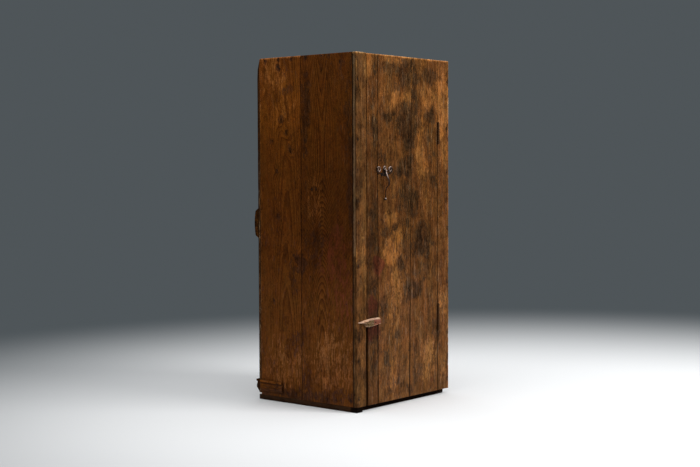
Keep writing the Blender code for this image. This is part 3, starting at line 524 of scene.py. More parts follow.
def plank_grid(board):
    """A board with rounded worn edges, as one loop of points at each station along it."""
    low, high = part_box(board.node)
    axis, across, thick = board.along, board.across, board.thick
    places, insets = stations(low[axis], high[axis], board.step).T
    inside = np.clip(places, low[axis] + END_ROUNDING, high[axis] - END_ROUNDING)
    lows, highs = slice_ranges(board.node, axis, inside)
    left, right = lows[:, across] + insets, highs[:, across] - insets
    near, far = lows[:, thick] + insets, highs[:, thick] - insets
    width, height = (right - left).min(), (far - near).min()
    shares = face_shares(board, width)
    columns = loop_columns(shares)
    radii = np.stack([corner_radii(board, corner, places) for corner in range(4)], axis=1)
    radii_across = np.minimum(radii, min(EDGE_ROOM, width * 0.3) * 0.92)
    radii_thick = np.minimum(radii * 0.8, height * 0.42)
    grid = np.zeros((len(places), len(columns), 3))
    grid[:, :, axis] = places[:, None]
    for column, (kind, value) in enumerate(columns):
        if kind in ("low", "high"):
            grid[:, column, across] = left + (right - left) * value
            grid[:, column, thick] = near if kind == "low" else far
        elif kind in ("left", "right"):
            grid[:, column, across] = left if kind == "left" else right
            grid[:, column, thick] = (near + far) / 2
        else:
            aside = radii_across[:, kind] * (1 - math.sin(value))
            inward = radii_thick[:, kind] * (1 - math.cos(value))
            grid[:, column, across] = left + aside if kind in (0, 3) else right - aside
            grid[:, column, thick] = near + inward if kind in (0, 1) else far - inward
    wear, dirt_and_shade = edge_looks(board, columns, places)
    relief(board, grid, columns, dirt_and_shade)
    ragged_ends(board, grid)
    return grid, len(shares), wear, dirt_and_shade


def edge_looks(board, columns, places):
    """How rubbed and how dirty each point is, from the corner it belongs to."""
    wear = np.zeros((len(places), len(columns)))
    dirt_and_shade = np.zeros_like(wear)
    for column, (kind, value) in enumerate(columns):
        if kind in ("low", "high"):
            continue
        if kind in ("left", "right"):
            corners = (0, 3) if kind == "left" else (1, 2)
            dirt_and_shade[:, column] = 0.25 if set(corners) & set(board.open) else board.side_dirt
            continue
        turned = math.sin(value)
        if kind in board.open:
            wear[:, column] = 0.60 * board.wear
        elif kind not in board.free:
            dirt_and_shade[:, column] = 0.38 + 0.80 * turned
        for corner, low, high, strength in board.rubs:
            if corner == kind:
                span = soft_span(places, low, high)
                wear[:, column] += strength * span * (1 - 0.4 * turned)
                dirt_and_shade[:, column] *= 1 - span * (1 - turned)
        for corner, low, high, strength in board.seams:
            if corner == kind:
                dirt_and_shade[:, column] += strength * soft_span(places, low, high)
    fade = np.array(END_WEAR)[:, None]
    wear[: len(fade)] = np.maximum(wear[: len(fade)], board.ends[0] * fade)
    wear[-len(fade) :] = np.maximum(wear[-len(fade) :], board.ends[1] * fade[::-1])
    return wear, dirt_and_shade


def smooth(values, low, high):
    """0 below low, 1 above high and a smooth rise between, for arrays."""
    share = np.clip((values - low) / (high - low), 0.0, 1.0)
    return share * share * (3 - 2 * share)


def soft_span(places, low, high):
    """1 between two places along a board and 0 beyond them, with soft ends."""
    return smooth(places, low, low + 0.05) * (1 - smooth(places, high - 0.05, high))


def relief(board, grid, columns, dirt_and_shade):
    """Draws the two wide faces in a little: hand-planed hollows, cupping and splits."""
    for column, (kind, value) in enumerate(columns):
        if kind not in ("low", "high"):
            continue
        inward = 1.0 if kind == "low" else -1.0
        along, across = grid[:, column, board.along], grid[:, column, board.across]
        wave = swings(along * 5, across * 19, board.seed + 31 * inward)
        sink = 0.00022 * (1 + wave) + CUP * (2 * value - 1) ** 2
        for centre, low, high, _, depth in board.splits:
            if abs(value - centre) < 1e-6 and kind == board.outer:
                span = np.maximum(0.0, 1 - ((2 * along - low - high) / (high - low)) ** 2)
                sink += depth * span**0.5
                dirt_and_shade[:, column] = np.maximum(dirt_and_shade[:, column], 1.2 * span)
        grid[:, column, board.thick] += inward * sink


def ragged_ends(board, grid):
    """Moves the points at both ends inwards by a little noise, as sawn and knocked ends have."""
    reach = END_BITE * board.wear
    for row, inward in ((0, 1), (-1, -1)):
        across, thick = grid[row, :, board.across], grid[row, :, board.thick]
        bite = np.abs(swings(across * 60, thick * 60, board.seed + row * 9))
        bite += np.maximum(0.0, swings(across * 24, board.seed, 3.3) - 0.3) * 1.6
        grid[row, :, board.along] += inward * reach * bite


def grid_object(name, grid, count):
    """A closed mesh from loops of points, its ends closed by strips across the thickness."""
    rows, columns = grid.shape[:2]
    faces = []
    for row in range(rows - 1):
        first, second = row * columns, (row + 1) * columns
        for column in range(columns):
            following = (column + 1) % columns
            faces.append((first + column, first + following, second + following, second + column))
    far = count + 2 * ARC_POINTS + 1
    strips = [(step, step + 1, far + count - 2 - step, far + count - 1 - step) for step in range(count - 1)]
    strips += [tuple(range(count - 1, far + 1)), tuple(range(far + count - 1, columns)) + (0,)]
    for base, order in ((0, -1), ((rows - 1) * columns, 1)):
        faces += [tuple(base + index for index in strip[::order]) for strip in strips]
    mesh = bpy.data.meshes.new(name)
    mesh.from_pydata(grid.reshape(-1, 3).tolist(), [], faces)
    return mesh


def close_shape(mesh, angle=50):
    """Faces point outwards, smooth but for sharp edges."""
    shape = bmesh.new()
    shape.from_mesh(mesh)
    bmesh.ops.recalc_face_normals(shape, faces=shape.faces)
    shape.to_mesh(mesh)
    shape.free()
    mesh.shade_smooth()
    mesh.set_sharp_from_angle(angle=math.radians(angle))


def add_piece(name, mesh, slot, body, nodes=()):
    """Puts a mesh in the scene as a piece that rides on a body and stands for the nodes named."""
    piece = bpy.data.objects.new(name, mesh)
    bpy.context.scene.collection.objects.link(piece)
    mesh.materials.append(MATERIALS[slot])
    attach(piece, body)
    if nodes:
        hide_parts(*nodes)


def write_attribute(mesh, name, *values):
    """Writes one value or three for each point; one that is the same for all may be a number."""
    kind, field = ("FLOAT_VECTOR", "vector") if len(values) == 3 else ("FLOAT", "value")
    rows = np.stack(np.broadcast_arrays(*values), axis=-1).astype(np.float32)
    mesh.attributes.new(name, kind, "POINT").data.foreach_set(field, rows.ravel())


def mesh_points(mesh):
    return np.array([vertex.co for vertex in mesh.vertices])


def for_node(table, node, other):
    """The entry of a table whose key the node's name starts with, or else another value."""
    return next((table[key] for key in table if node.startswith(key)), other)


# Marks on the front: distance from the left corner, height, half width, half height and strength. Dark grime
# comes first, then wood rubbed to honey, then the red stain.
FRONT_GRIME = (
    (0.390, 1.515, 0.072, 0.072, 0.90), (0.250, 1.530, 0.050, 0.032, 0.60),
    (0.550, 1.510, 0.048, 0.024, 0.85), (0.140, 1.530, 0.016, 0.070, 0.60),
    (0.630, 1.545, 0.020, 0.045, 0.40), (0.425, 1.400, 0.028, 0.080, 0.75),
    (0.235, 1.330, 0.062, 0.020, 0.95), (0.375, 1.285, 0.072, 0.080, 1.00),
    (0.395, 1.220, 0.048, 0.045, 1.05), (0.550, 1.337, 0.048, 0.020, 1.00),
    (0.560, 1.250, 0.034, 0.050, 0.62), (0.128, 1.250, 0.022, 0.060, 1.05),
    (0.115, 1.400, 0.018, 0.060, 0.45), (0.185, 1.140, 0.018, 0.024, 0.80),
    (0.365, 1.110, 0.055, 0.024, 0.95), (0.570, 1.150, 0.042, 0.040, 0.60),
    (0.570, 1.030, 0.034, 0.026, 0.66), (0.335, 1.070, 0.056, 0.034, 1.08),
    (0.375, 0.945, 0.082, 0.072, 0.87), (0.120, 0.920, 0.032, 0.060, 0.60),
    (0.250, 0.812, 0.062, 0.016, 0.70), (0.375, 0.833, 0.014, 0.010, 1.30),
    (0.360, 0.830, 0.048, 0.042, 0.50), (0.370, 0.720, 0.034, 0.070, 0.55),
    (0.490, 0.745, 0.060, 0.070, 1.10), (0.555, 0.720, 0.030, 0.024, 0.80),
    (0.110, 0.760, 0.034, 0.050, 0.55), (0.315, 0.635, 0.026, 0.024, 1.12),
    (0.480, 0.620, 0.070, 0.034, 0.55), (0.110, 0.560, 0.038, 0.032, 0.80),
    (0.420, 0.520, 0.058, 0.038, 0.85), (0.480, 0.570, 0.028, 0.028, 0.75),
    (0.188, 0.452, 0.026, 0.044, 0.95), (0.120, 0.350, 0.042, 0.042, 0.70),
    (0.590, 0.330, 0.030, 0.048, 0.75), (0.285, 0.315, 0.042, 0.020, 0.55),
    (0.205, 0.225, 0.022, 0.034, 0.75), (0.120, 0.200, 0.020, 0.030, 0.60),
    (0.440, 0.140, 0.034, 0.060, 0.50), (0.235, 0.070, 0.015, 0.017, 1.00),
    (0.300, 0.120, 0.013, 0.018, 0.80), (0.390, 0.070, 0.015, 0.024, 0.80),
    (0.620, 0.200, 0.028, 0.080, 0.45), (0.010, 1.560, 0.012, 0.036, 0.80),
    (0.008, 1.420, 0.012, 0.050, 0.70), (0.028, 1.010, 0.028, 0.090, 0.50),
    (0.008, 1.020, 0.010, 0.026, 1.00), (0.006, 0.930, 0.010, 0.026, 1.00),
    (0.016, 0.660, 0.011, 0.018, 1.00), (0.058, 0.460, 0.012, 0.060, 0.70),
    (0.062, 0.230, 0.010, 0.100, 0.80), (0.022, 0.350, 0.016, 0.030, 0.90),
    (0.034, 0.150, 0.018, 0.030, 0.65), (0.012, 0.040, 0.012, 0.020, 0.90),
)
FRONT_HONEY = (
    (0.090, 1.560, 0.022, 0.060, 1.10), (0.185, 1.430, 0.016, 0.060, 0.30),
    (0.290, 1.580, 0.080, 0.018, 1.14), (0.310, 1.400, 0.068, 0.034, 1.05),
    (0.480, 1.560, 0.018, 0.040, 0.60), (0.530, 1.425, 0.048, 0.042, 1.00),
    (0.650, 1.410, 0.050, 0.130, 0.95), (0.480, 1.270, 0.020, 0.060, 0.95),
    (0.475, 1.155, 0.032, 0.050, 1.15), (0.490, 1.070, 0.042, 0.034, 0.90),
    (0.270, 1.220, 0.060, 0.050, 0.35), (0.270, 0.975, 0.034, 0.042, 0.50),
    (0.250, 0.865, 0.042, 0.024, 0.95), (0.260, 0.735, 0.052, 0.068, 1.20),
    (0.285, 0.535, 0.034, 0.062, 1.25), (0.280, 0.410, 0.048, 0.060, 0.55),
    (0.260, 0.140, 0.034, 0.060, 0.80), (0.540, 0.175, 0.048, 0.080, 0.95),
    (0.530, 0.930, 0.048, 0.060, 0.45), (0.650, 0.460, 0.034, 0.080, 0.70),
    (0.660, 1.150, 0.038, 0.060, 0.60), (0.650, 0.150, 0.028, 0.080, 0.45),
    (0.032, 0.195, 0.014, 0.070, 0.70), (0.030, 1.460, 0.012, 0.120, 0.45),
    (0.040, 0.720, 0.022, 0.100, 0.55),
)
FRONT_STAIN = (
    (0.160, 0.656, 0.034, 0.026, 2.30), (0.138, 0.645, 0.030, 0.030, 0.50),
    (0.150, 0.605, 0.028, 0.020, 0.55), (0.112, 0.468, 0.040, 0.042, 0.84),
    (0.120, 0.360, 0.042, 0.038, 0.85), (0.620, 0.365, 0.014, 0.036, 0.70),
    (0.560, 0.092, 0.010, 0.010, 0.90),
)
# Marks on the left side, in the same way, with the distance from the front
SIDE_GRIME = (
    (0.300, 1.330, 0.020, 0.200, 0.75), (0.300, 0.950, 0.018, 0.170, 0.45),
    (0.375, 0.620, 0.030, 0.110, 0.45), (0.030, 1.300, 0.028, 0.260, 0.60),
    (0.395, 1.435, 0.050, 0.018, 0.60), (0.330, 0.640, 0.045, 0.035, 0.80),
    (0.250, 0.720, 0.050, 0.100, 0.45), (0.350, 0.290, 0.040, 0.060, 0.50),
    (0.030, 0.960, 0.028, 0.150, 0.60), (0.020, 0.520, 0.016, 0.160, 0.30),
    (0.290, 0.048, 0.330, 0.028, 0.72), (0.300, 0.115, 0.030, 0.050, 0.50),
    # The last mark is the painted shadow beside the side moulding's front end
    (0.437, 0.066, 0.006, 0.030, 1.00),
)
SIDE_HONEY = (
    (0.500, 1.520, 0.080, 0.100, 0.48), (0.440, 1.350, 0.070, 0.060, 0.45),
    (0.250, 0.950, 0.050, 0.120, 0.45), (0.430, 0.160, 0.120, 0.120, 0.45),
    (0.130, 0.200, 0.120, 0.150, 0.55), (0.330, 0.160, 0.040, 0.100, 0.50),
)
SIDE_STAIN = (
    (0.115, 0.700, 0.060, 0.140, 0.66), (0.080, 0.520, 0.060, 0.130, 0.58),
    (0.180, 0.660, 0.060, 0.090, 0.40),
)


# Nail heads of the left side, the stiles and the side moulding: distance from the front, or for the stiles
# from the left corner, then height and radius
SIDE_NAILS = (
    (0.547, 1.588, 0.0032), (0.464, 1.590, 0.0034), (0.383, 1.589, 0.0030), (0.295, 1.590, 0.0040),
    (0.201, 1.592, 0.0032), (0.160, 1.591, 0.0030), (0.468, 1.556, 0.0046), (0.459, 1.547, 0.0036),
    (0.418, 0.044, 0.0036), (0.366, 0.045, 0.0034), (0.243, 0.043, 0.0036), (0.179, 0.044, 0.0034),
    (0.124, 0.045, 0.0036), (0.036, 0.052, 0.0040), (0.262, 0.994, 0.0032), (0.236, 0.996, 0.0028),
    (0.305, 1.215, 0.0028), (0.060, 0.482, 0.0028), (0.500, 0.474, 0.0028), (0.090, 1.560, 0.0028),
)
STILE_NAILS = (
    (0.012, 1.215, 0.0042), (0.013, 1.080, 0.0036), (0.012, 0.942, 0.0042), (0.014, 0.845, 0.0040),
    (0.012, 0.656, 0.0046), (0.013, 0.230, 0.0036), (0.012, 1.480, 0.0034), (0.013, 0.060, 0.0036),
    (0.688, 1.275, 0.0038), (0.687, 1.070, 0.0040), (0.688, 0.800, 0.0036), (0.688, 0.545, 0.0040),
    (0.687, 0.300, 0.0040), (0.688, 1.500, 0.0034), (0.687, 0.070, 0.0042),
)
MOULDING_NAILS = ((0.474, 0.079, 0.0044), (0.486, 0.057, 0.0044))
NAILED = {
    "left_side": SIDE_NAILS, "left_stile": STILE_NAILS, "right_stile": STILE_NAILS,
    "side_moulding": MOULDING_NAILS,
}
# How dark the base moulding is painted at each height of its section, as shade under its lip and along its
# bottom, and how light, as wear together with painted highlights on its lip and belly
MOULDING_SHADE = (
    (0.034, 0.042, 0.048, 0.073, 0.077, 0.083, 0.085),
    (0.9, 0.7, 0.0, 0.0, 0.75, 0.85, 0.0),
)
MOULDING_WEAR_AND_HIGHLIGHT = ((0.050, 0.061, 0.072, 0.084, 0.088, 0.093), (0.1, 0.3, 0.1, 0.1, 0.3, 0.50))
# How far the painted shadow reaches on the side moulding's front end, and the darkening on the left end of
# those behind
SHADED_FRONT_END = 0.003
DARKENED_LEFT_END = 0.002
# Shares of the turn button's length, and how high its upper edge is there as a share of its height
CREST_SHARES = ((0.0, 0.24, 0.5, 0.7, 1.0), (0.69, 0.81, 0.94, 0.99, 0.97))
# Nails through the door's boards into each ledge: board, distance from the left corner, height above the
# ledge's middle
DOOR_NAILS = (
    (1, 0.126, 0.022), (1, 0.141, -0.018), (2, 0.176, 0.020), (2, 0.262, -0.016), (2, 0.380, 0.004),
    (3, 0.410, -0.020), (3, 0.500, 0.018), (3, 0.556, -0.006),
)
DOOR_NAIL_RADIUS = 0.0024
# The bent points inside the door: radius, how much longer than wide, and how far to the right of the heads
CLENCH_RADIUS = 0.0016
CLENCH_STRETCH = 3.4
CLENCH_SHIFT = 0.006
# How far the right side's nails lie behind and above the left side's
RIGHT_SHIFT = (0.004, -0.002)
# Nails of the back: shares of a board's width, heights, distances from a board's lower end and from the top,
# then places across and heights on the ledge and the moulding
BACK_NAIL_RADIUS = 0.0028
BACK_NAIL_SHARES = (0.18, 0.80)
BACK_NAIL_HEIGHTS = (0.30, 0.48, 1.22)
END_NAILS = (0.010, 0.012)
LEDGE_NAILS = (-0.30, -0.10, 0.09, 0.31)
LEDGE_NAIL_HEIGHTS = {"back_ledge": 0.83, "back_moulding": 0.052}
# Outline of a nail's head: shares of its radius and of its height, and how deep it is sunk there
HEAD_RINGS = ((0.92, 0.0, 0.0016), (1.0, 0.15, 0.0), (0.74, 0.8, 0.0), (0.30, 1.0, 0.0))
HEAD_CORNERS = 9
# How far outside the lines start that find the wood under a nail
OUTSIDE = 0.05
RIGHTWARDS = Vector((1, 0, 0))
BACKWARDS = Vector((0, 1, 0))
UPWARDS = Vector((0, 0, 1))

# Forged ironwork, on the lines of its solids; a painted highlight shows on the faces that look this way, towards
# the light
HIGHLIGHT_SIDE = Vector((-0.35, -0.55, 0.76))
SCROLL_SPACING = 0.082
SCROLL_RISE = 0.0045
SCROLL_RADII = (0.0165, 0.0045)
SCROLL_TURNS = 1.4
SCROLL_POINTS = 34
ROD_RADII = (0.0026, 0.0018)
ROD_SIDES = 10
ROD_SEAT = 0.0003
PLATE_THICKNESS = 0.0025
PLATE_BEVEL = 0.0006
BOSS_RADIUS = 0.0130
BAR_DROP = 0.0187
BAR_HALF = 0.0190
BAR_RADIUS = 0.0055
EAR_INNER = 0.0043
EAR_THICKNESS = 0.0030
EAR_RADIUS = 0.0050
EAR_BEVEL = 0.0004
EYE_RADIUS = 0.0070
EYE_ROD = 0.0022
EYE_RISE = 0.0125
HANDLE_LENGTH = 0.1280
# Shares of the handle's length at which its rod starts and its evenly spaced points start
ROD_START = 0.022
EVEN_START = 0.05
KNUCKLE_HALF = 0.0040
KNUCKLE_BEVEL = 0.0004
KNUCKLE_RADIUS = 0.0046
PIN_ROOM = 0.0019
BALL_RADIUS = 0.0065
# The handle's centre line from its pivot down: share of its length, reach forwards, half width and half
# thickness
HANDLE_LINE = (
    (0.000, 0.0000, 0.0036, 0.0026), (0.080, 0.0028, 0.0037, 0.0024),
    (0.170, 0.0080, 0.0044, 0.0020), (0.270, 0.0144, 0.0055, 0.0019),
    (0.360, 0.0188, 0.0060, 0.0019), (0.430, 0.0200, 0.0054, 0.0020),
    (0.500, 0.0168, 0.0041, 0.0023), (0.560, 0.0088, 0.0031, 0.0025),
    (0.620, 0.0020, 0.0026, 0.0025), (0.700, -0.0004, 0.0024, 0.0024),
    (0.860, -0.0012, 0.0023, 0.0023), (1.000, -0.0024, 0.0028, 0.0026),
)
# How strong the handle's painted highlight is at shares of its length
HANDLE_HIGHLIGHTS = ((0.0, 0.10, 0.18, 0.34, 0.46, 0.80, 1.0), (0.8, 0.90, 0.70, 0.30, 0.15, 0.25, 0.2))


def drifted(across, up, seed):
    """Places shifted by smooth noise, so that marks drawn as ovals get ragged outlines."""
    sideways = 0.020 * swings(across * 16, up * 7, seed) + 0.010 * swings(across * 48, up * 20, seed + 3)
    upwards = 0.040 * swings(across * 11, up * 6, seed + 7) + 0.022 * swings(across * 40, up * 17, seed + 9)
    return across + sideways, up + upwards


def mark_values(marks, across, up):
    """How strongly each point lies in one of the marks, from 0 to 1."""
    values = np.zeros(len(across))
    for centre, height, half_width, half_height, strength in marks:
        distance = np.hypot((across - centre) / half_width, (up - height) / half_height)
        values = np.maximum(values, strength * np.clip(1.8 - 1.1 * distance, 0.0, 1.0))
    return values


def ring_values(board, points, low, high):
    """How far each point lies from the board's pith, which bends round knots and climbs with the taper."""
    width = high[board.across] - low[board.across]
    along = points[:, board.along]
    off = points[:, board.across] - (low[board.across] + width * board.heart)
    drift = swings(along * 1.6, board.seed, 7.7) * width * 0.06
    below = board.depth + (points[:, board.thick] - low[board.thick])
    ring = np.hypot(off + drift, below) + board.taper * along
    for centre, reach_down, reach_up, amount in board.rise:
        reach = np.where(along < centre, reach_down, reach_up)
        ring += amount * np.exp(-(((along - centre) / reach) ** 2))
    for across, up, radius in board.knots:
        distance = np.hypot(points[:, board.across] - across, (along - up) * 0.6)
        ring += radius * 1.3 * np.exp(-((distance / (radius * 1.8)) ** 2))
    return ring


def board_marks(board, points):
    """Grime, honey and stain at each point: marks drawn on the front and the left side, nails and knots."""
    along, across = points[:, board.along], points[:, board.across]
    from_left, from_front = points[:, X] - LEFT, points[:, Y] - FRONT
    marks = np.zeros((3, len(points)))
    marks[0] = board.grime + 0.22 * swings(along * 3.1, across * 6.0, board.seed + 5)
    place, kinds = from_left, ()
    if from_front.max() < MARKED_DEPTH:
        kinds = (FRONT_GRIME, FRONT_HONEY, FRONT_STAIN)
    elif from_left.max() < MARKED_DEPTH and board.slot == "side_wood":
        place, kinds = from_front, (SIDE_GRIME, SIDE_HONEY, SIDE_STAIN)
    elif board.slot == "side_wood":
        wide = swings(along * 2.4, across * 7.0, board.seed + 60)
        marks[0] += 0.9 * np.maximum(0.0, wide - 0.1)
        marks[1] = 1.4 * np.maximum(0.0, -wide - 0.08)
    if kinds:
        place, height = drifted(place, points[:, Z], 11.0)
    for column, kind in enumerate(kinds):
        marks[column] = np.maximum(marks[column], mark_values(kind, place, height))
    side = from_front if board.thick == X else from_left
    for place, height, radius in for_node(NAILED, board.node, ()):
        distance = np.hypot(side - place, (points[:, Z] - height) * 0.7) / (radius * 2.2)
        marks[0] = np.maximum(marks[0], 1.9 * np.exp(-(distance**2)))
    for place, up, radius in board.knots:
        distance = np.hypot(across - place, (along - up) * 0.8) / radius
        marks[0] = np.maximum(marks[0], 1.85 * np.exp(-(distance**2)))
    return marks


def add_wood(board, mesh, wear, dirt_and_shade, marks=None):
    """Writes what the wood's material reads, from grain to worn edges, and adds the board's piece."""
    low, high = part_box(board.node)
    points = mesh_points(mesh)
    thick, height = points[:, board.thick], points[:, Z]
    middle = (low[board.thick] + high[board.thick]) / 2
    shown = {"low": thick < middle, "high": thick > middle, "all": 1.0, "none": 0.0}[board.outer]
    shown = np.ones(len(points)) * shown
    write_attribute(
        mesh, "grain", points[:, board.along] + board.seed * 1.7, points[:, board.across] + board.seed * 0.9,
        thick + board.seed * 0.4,
    )
    write_attribute(mesh, "ring", ring_values(board, points, low, high) * board.rings)
    if marks is None:
        marks = board_marks(board, points)
    write_attribute(mesh, "marks", *(marks * shown))
    # Painted shade on the left stile's side
    corner = (points[:, X] < LEFT + STILE_SHADED_SIDE) & (board.node == "left_stile")
    bare = (1.0 - shown) * (board.outer != "none")
    write_attribute(mesh, "tone", np.where(corner, 0.62, 1.0), board.pores, bare)
    # Painted shadow on the runners' front ends: a low light, and on the left runner full edge grime too
    shaded_runner_end = (points[:, Y] < FRONT + SHADED_RUNNER_END) & board.node.endswith("runner")
    light = np.interp(height, *zip(*board.levels)) * np.where(shaded_runner_end, 0.15, 1.0)
    # Painted cool bounce light: the outside turns greyer and bluer at the heights of its tints
    heights, greens, blues = zip(*for_node(TINTS, board.node, PLAIN_TINT))
    green, blue = [1.0 + shown * (np.interp(height, heights, values) - 1.0) for values in (greens, blues)]
    write_attribute(mesh, "shade", light, light * green, light * blue)
    if board.node == "left_runner":
        dirt_and_shade = np.maximum(dirt_and_shade, 1.2 * shaded_runner_end)
    else:
        dirt_and_shade = np.maximum(dirt_and_shade, 0.45 * np.clip(1.0 - height / FLOOR_DIRT, 0.0, 1.0))
    write_attribute(mesh, "edge", wear, dirt_and_shade, board.contrast)
    add_piece(f"{board.node}_wood", mesh, board.slot, board.body, (board.node,))


def carved_copy(board, cuts, dent):
    """A node's own shape in short stretches, its corners knocked and its faces left a little uneven."""
    shape = bmesh.new()
    shape.from_mesh(frame["nodes"][board.node].data)
    bmesh.ops.remove_doubles(shape, verts=shape.verts, dist=0.00005)
    bmesh.ops.dissolve_limit(shape, angle_limit=math.radians(1), verts=shape.verts, edges=shape.edges)
    low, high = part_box(board.node)
    for axis, step in cuts:
        normal = Vector((axis == 0, axis == 1, axis == 2))
        count = round((high[axis] - low[axis]) / step)
        for place in np.linspace(low[axis], high[axis], count + 1)[1:-1]:
            parts = shape.verts[:] + shape.edges[:] + shape.faces[:]
            bmesh.ops.bisect_plane(shape, geom=parts, plane_co=normal * place, plane_no=normal, dist=1e-6)
    shape.normal_update()
    sharp, grooves, moves = [], [], []
    for vertex in shape.verts:
        angles = [edge.calc_face_angle_signed(0.0) for edge in vertex.link_edges]
        corner = min(1.0, max(0.0, max(angles)) / 0.7)
        sharp.append(corner)
        grooves.append(min(1.0, max(0.0, -min(angles)) / 0.5))
        rough = 0.5 + 0.5 * noise.noise(vertex.co * 90)
        knock = max(0.0, noise.noise(vertex.co * 38 + Vector((board.seed, 0, 0))) - 0.15)
        moves.append(-vertex.normal * (dent * rough + corner * knock * 4 * dent))
    for vertex, move in zip(shape.verts, moves):
        vertex.co += move
    mesh = bpy.data.meshes.new(board.node)
    shape.to_mesh(mesh)
    shape.free()
    return mesh, np.array(sharp), np.array(grooves)


def build_moulding(board):
    cuts = ((board.along, 0.010),) if board.along == X else ((board.along, 0.004), (Z, 0.004))
    mesh, sharp, grooves = carved_copy(board, cuts, 0.0003)
    close_shape(mesh, 28)
    points = mesh_points(mesh)
    normals = np.array([vertex.normal for vertex in mesh.vertices])
    # Dark in the grooves, and painted shade on the faces that look down
    dirt_and_shade = np.maximum(1.1 * grooves, np.clip(-normals[:, Z], 0, 1) * 0.7)
    if board.node != "back_ledge":
        # Painted shade under the lip and along the bottom; wear together with painted highlights on the lip and
        # belly
        dirt_and_shade = np.maximum(dirt_and_shade, np.interp(points[:, Z], *MOULDING_SHADE))
        sharp = np.maximum(sharp * 0.5, np.interp(points[:, Z], *MOULDING_WEAR_AND_HIGHLIGHT))
    # Painted shadow on the side moulding's front end; the left end of those behind is darker
    if board.along == Y:
        dirt_and_shade = np.maximum(dirt_and_shade, 0.65 * (points[:, Y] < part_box(board.node)[0].y + SHADED_FRONT_END))
    else:
        dirt_and_shade = np.maximum(dirt_and_shade, 0.95 * (points[:, X] < LEFT + DARKENED_LEFT_END))
    add_wood(board, mesh, sharp * 0.42, dirt_and_shade)


def build_button():
    """The whittled stick that holds the door shut: pale where its upper edge was cut, pinkish below."""
    board = Board(
        "turn_button", X, Y, "all", heart=1.6, depth=0.02, rings=260.0, contrast=0.7, pores=0.0, grime=0.10
    )
    mesh, sharp, _ = carved_copy(board, ((X, 0.0035), (Z, 0.004)), 0.00035)
    close_shape(mesh, 24)
    points = mesh_points(mesh)
    low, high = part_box(board.node)
    along = (points[:, X] - low.x) / (high.x - low.x)
    crest = np.interp(along, *CREST_SHARES)
    below = (low.z + (high.z - low.z) * crest - points[:, Z]) / (high.z - low.z)
    under = smooth(below, 0.09, 0.21) * smooth(along, 0.10, 0.24)
    dark = 0.05 + 0.95 * under * (1.0 - smooth(along, 0.62, 0.78))
    marks = np.stack([dark, 0.9 - 0.9 * under, 1.3 * under * smooth(along, 0.58, 0.74)])
    add_wood(board, mesh, sharp * 0.5, (1 - sharp) * 0.1, marks)


def circle(centre, first, second, count):
    """Points round a centre, with two vectors as half axes."""
    turns = [math.tau * step / count for step in range(count)]
    return [centre + first * math.cos(turn) + second * math.sin(turn) for turn in turns]


def join_rings(shape, rings, closed=False):
    """Joins rings of vertices into a skin, with flat ends unless it closes on itself."""
    pairs = list(zip(rings, rings[1:]))
    if closed:
        pairs.append((rings[-1], rings[0]))
    else:
        shape.faces.new(rings[0][::-1])
        shape.faces.new(rings[-1])
    for low, high in pairs:
        for step, corner in enumerate(low):
            following = (step + 1) % len(low)
            shape.faces.new((corner, low[following], high[following], high[step]))


class Heads:
    """Nail heads hammered into the pieces of one body, joined into one mesh."""

    def __init__(self, name, body):
        self.name, self.body = name, body
        self.shape = bmesh.new()
        self.random = random.Random(name)
        self.trees = {}

    def seat(self, node, place, inward):
        """Where a line from outside through a place first meets a node."""
        if node not in self.trees:
            mesh = frame["nodes"][node].data
            faces = [tuple(face.vertices) for face in mesh.polygons]
            self.trees[node] = BVHTree.FromPolygons([vertex.co for vertex in mesh.vertices], faces)
        return self.trees[node].ray_cast(Vector(place) - inward * OUTSIDE, inward)[0]

    def add(self, node, place, inward, radius, proud=0.0008, stretch=1.0):
        """An uneven domed head with facets from the hammer, its rim sunk into the wood."""
        place = self.seat(node, place, inward)
        side = inward.orthogonal().normalized()
        up = inward.cross(side)
        turn = self.random.uniform(0, math.pi)
        wobble = [self.random.uniform(0.86, 1.12) for _ in range(HEAD_CORNERS)]
        rings = []
        for reach, lift, sunk in HEAD_RINGS:
            ring = []
            for step in range(HEAD_CORNERS):
                angle = turn + 2 * math.pi * step / HEAD_CORNERS
                spread = radius * reach * wobble[step]
                flat = side * math.cos(angle) * spread * stretch + up * math.sin(angle) * spread
                ring.append(self.shape.verts.new(place + flat - inward * (proud * lift - sunk)))
            rings.append(ring)
        join_rings(self.shape, rings)

    def finish(self):
        mesh = bpy.data.meshes.new(self.name)
        self.shape.to_mesh(mesh)
        self.shape.free()
        close_shape(mesh, 40)
        add_piece(self.name, mesh, "iron", self.body)


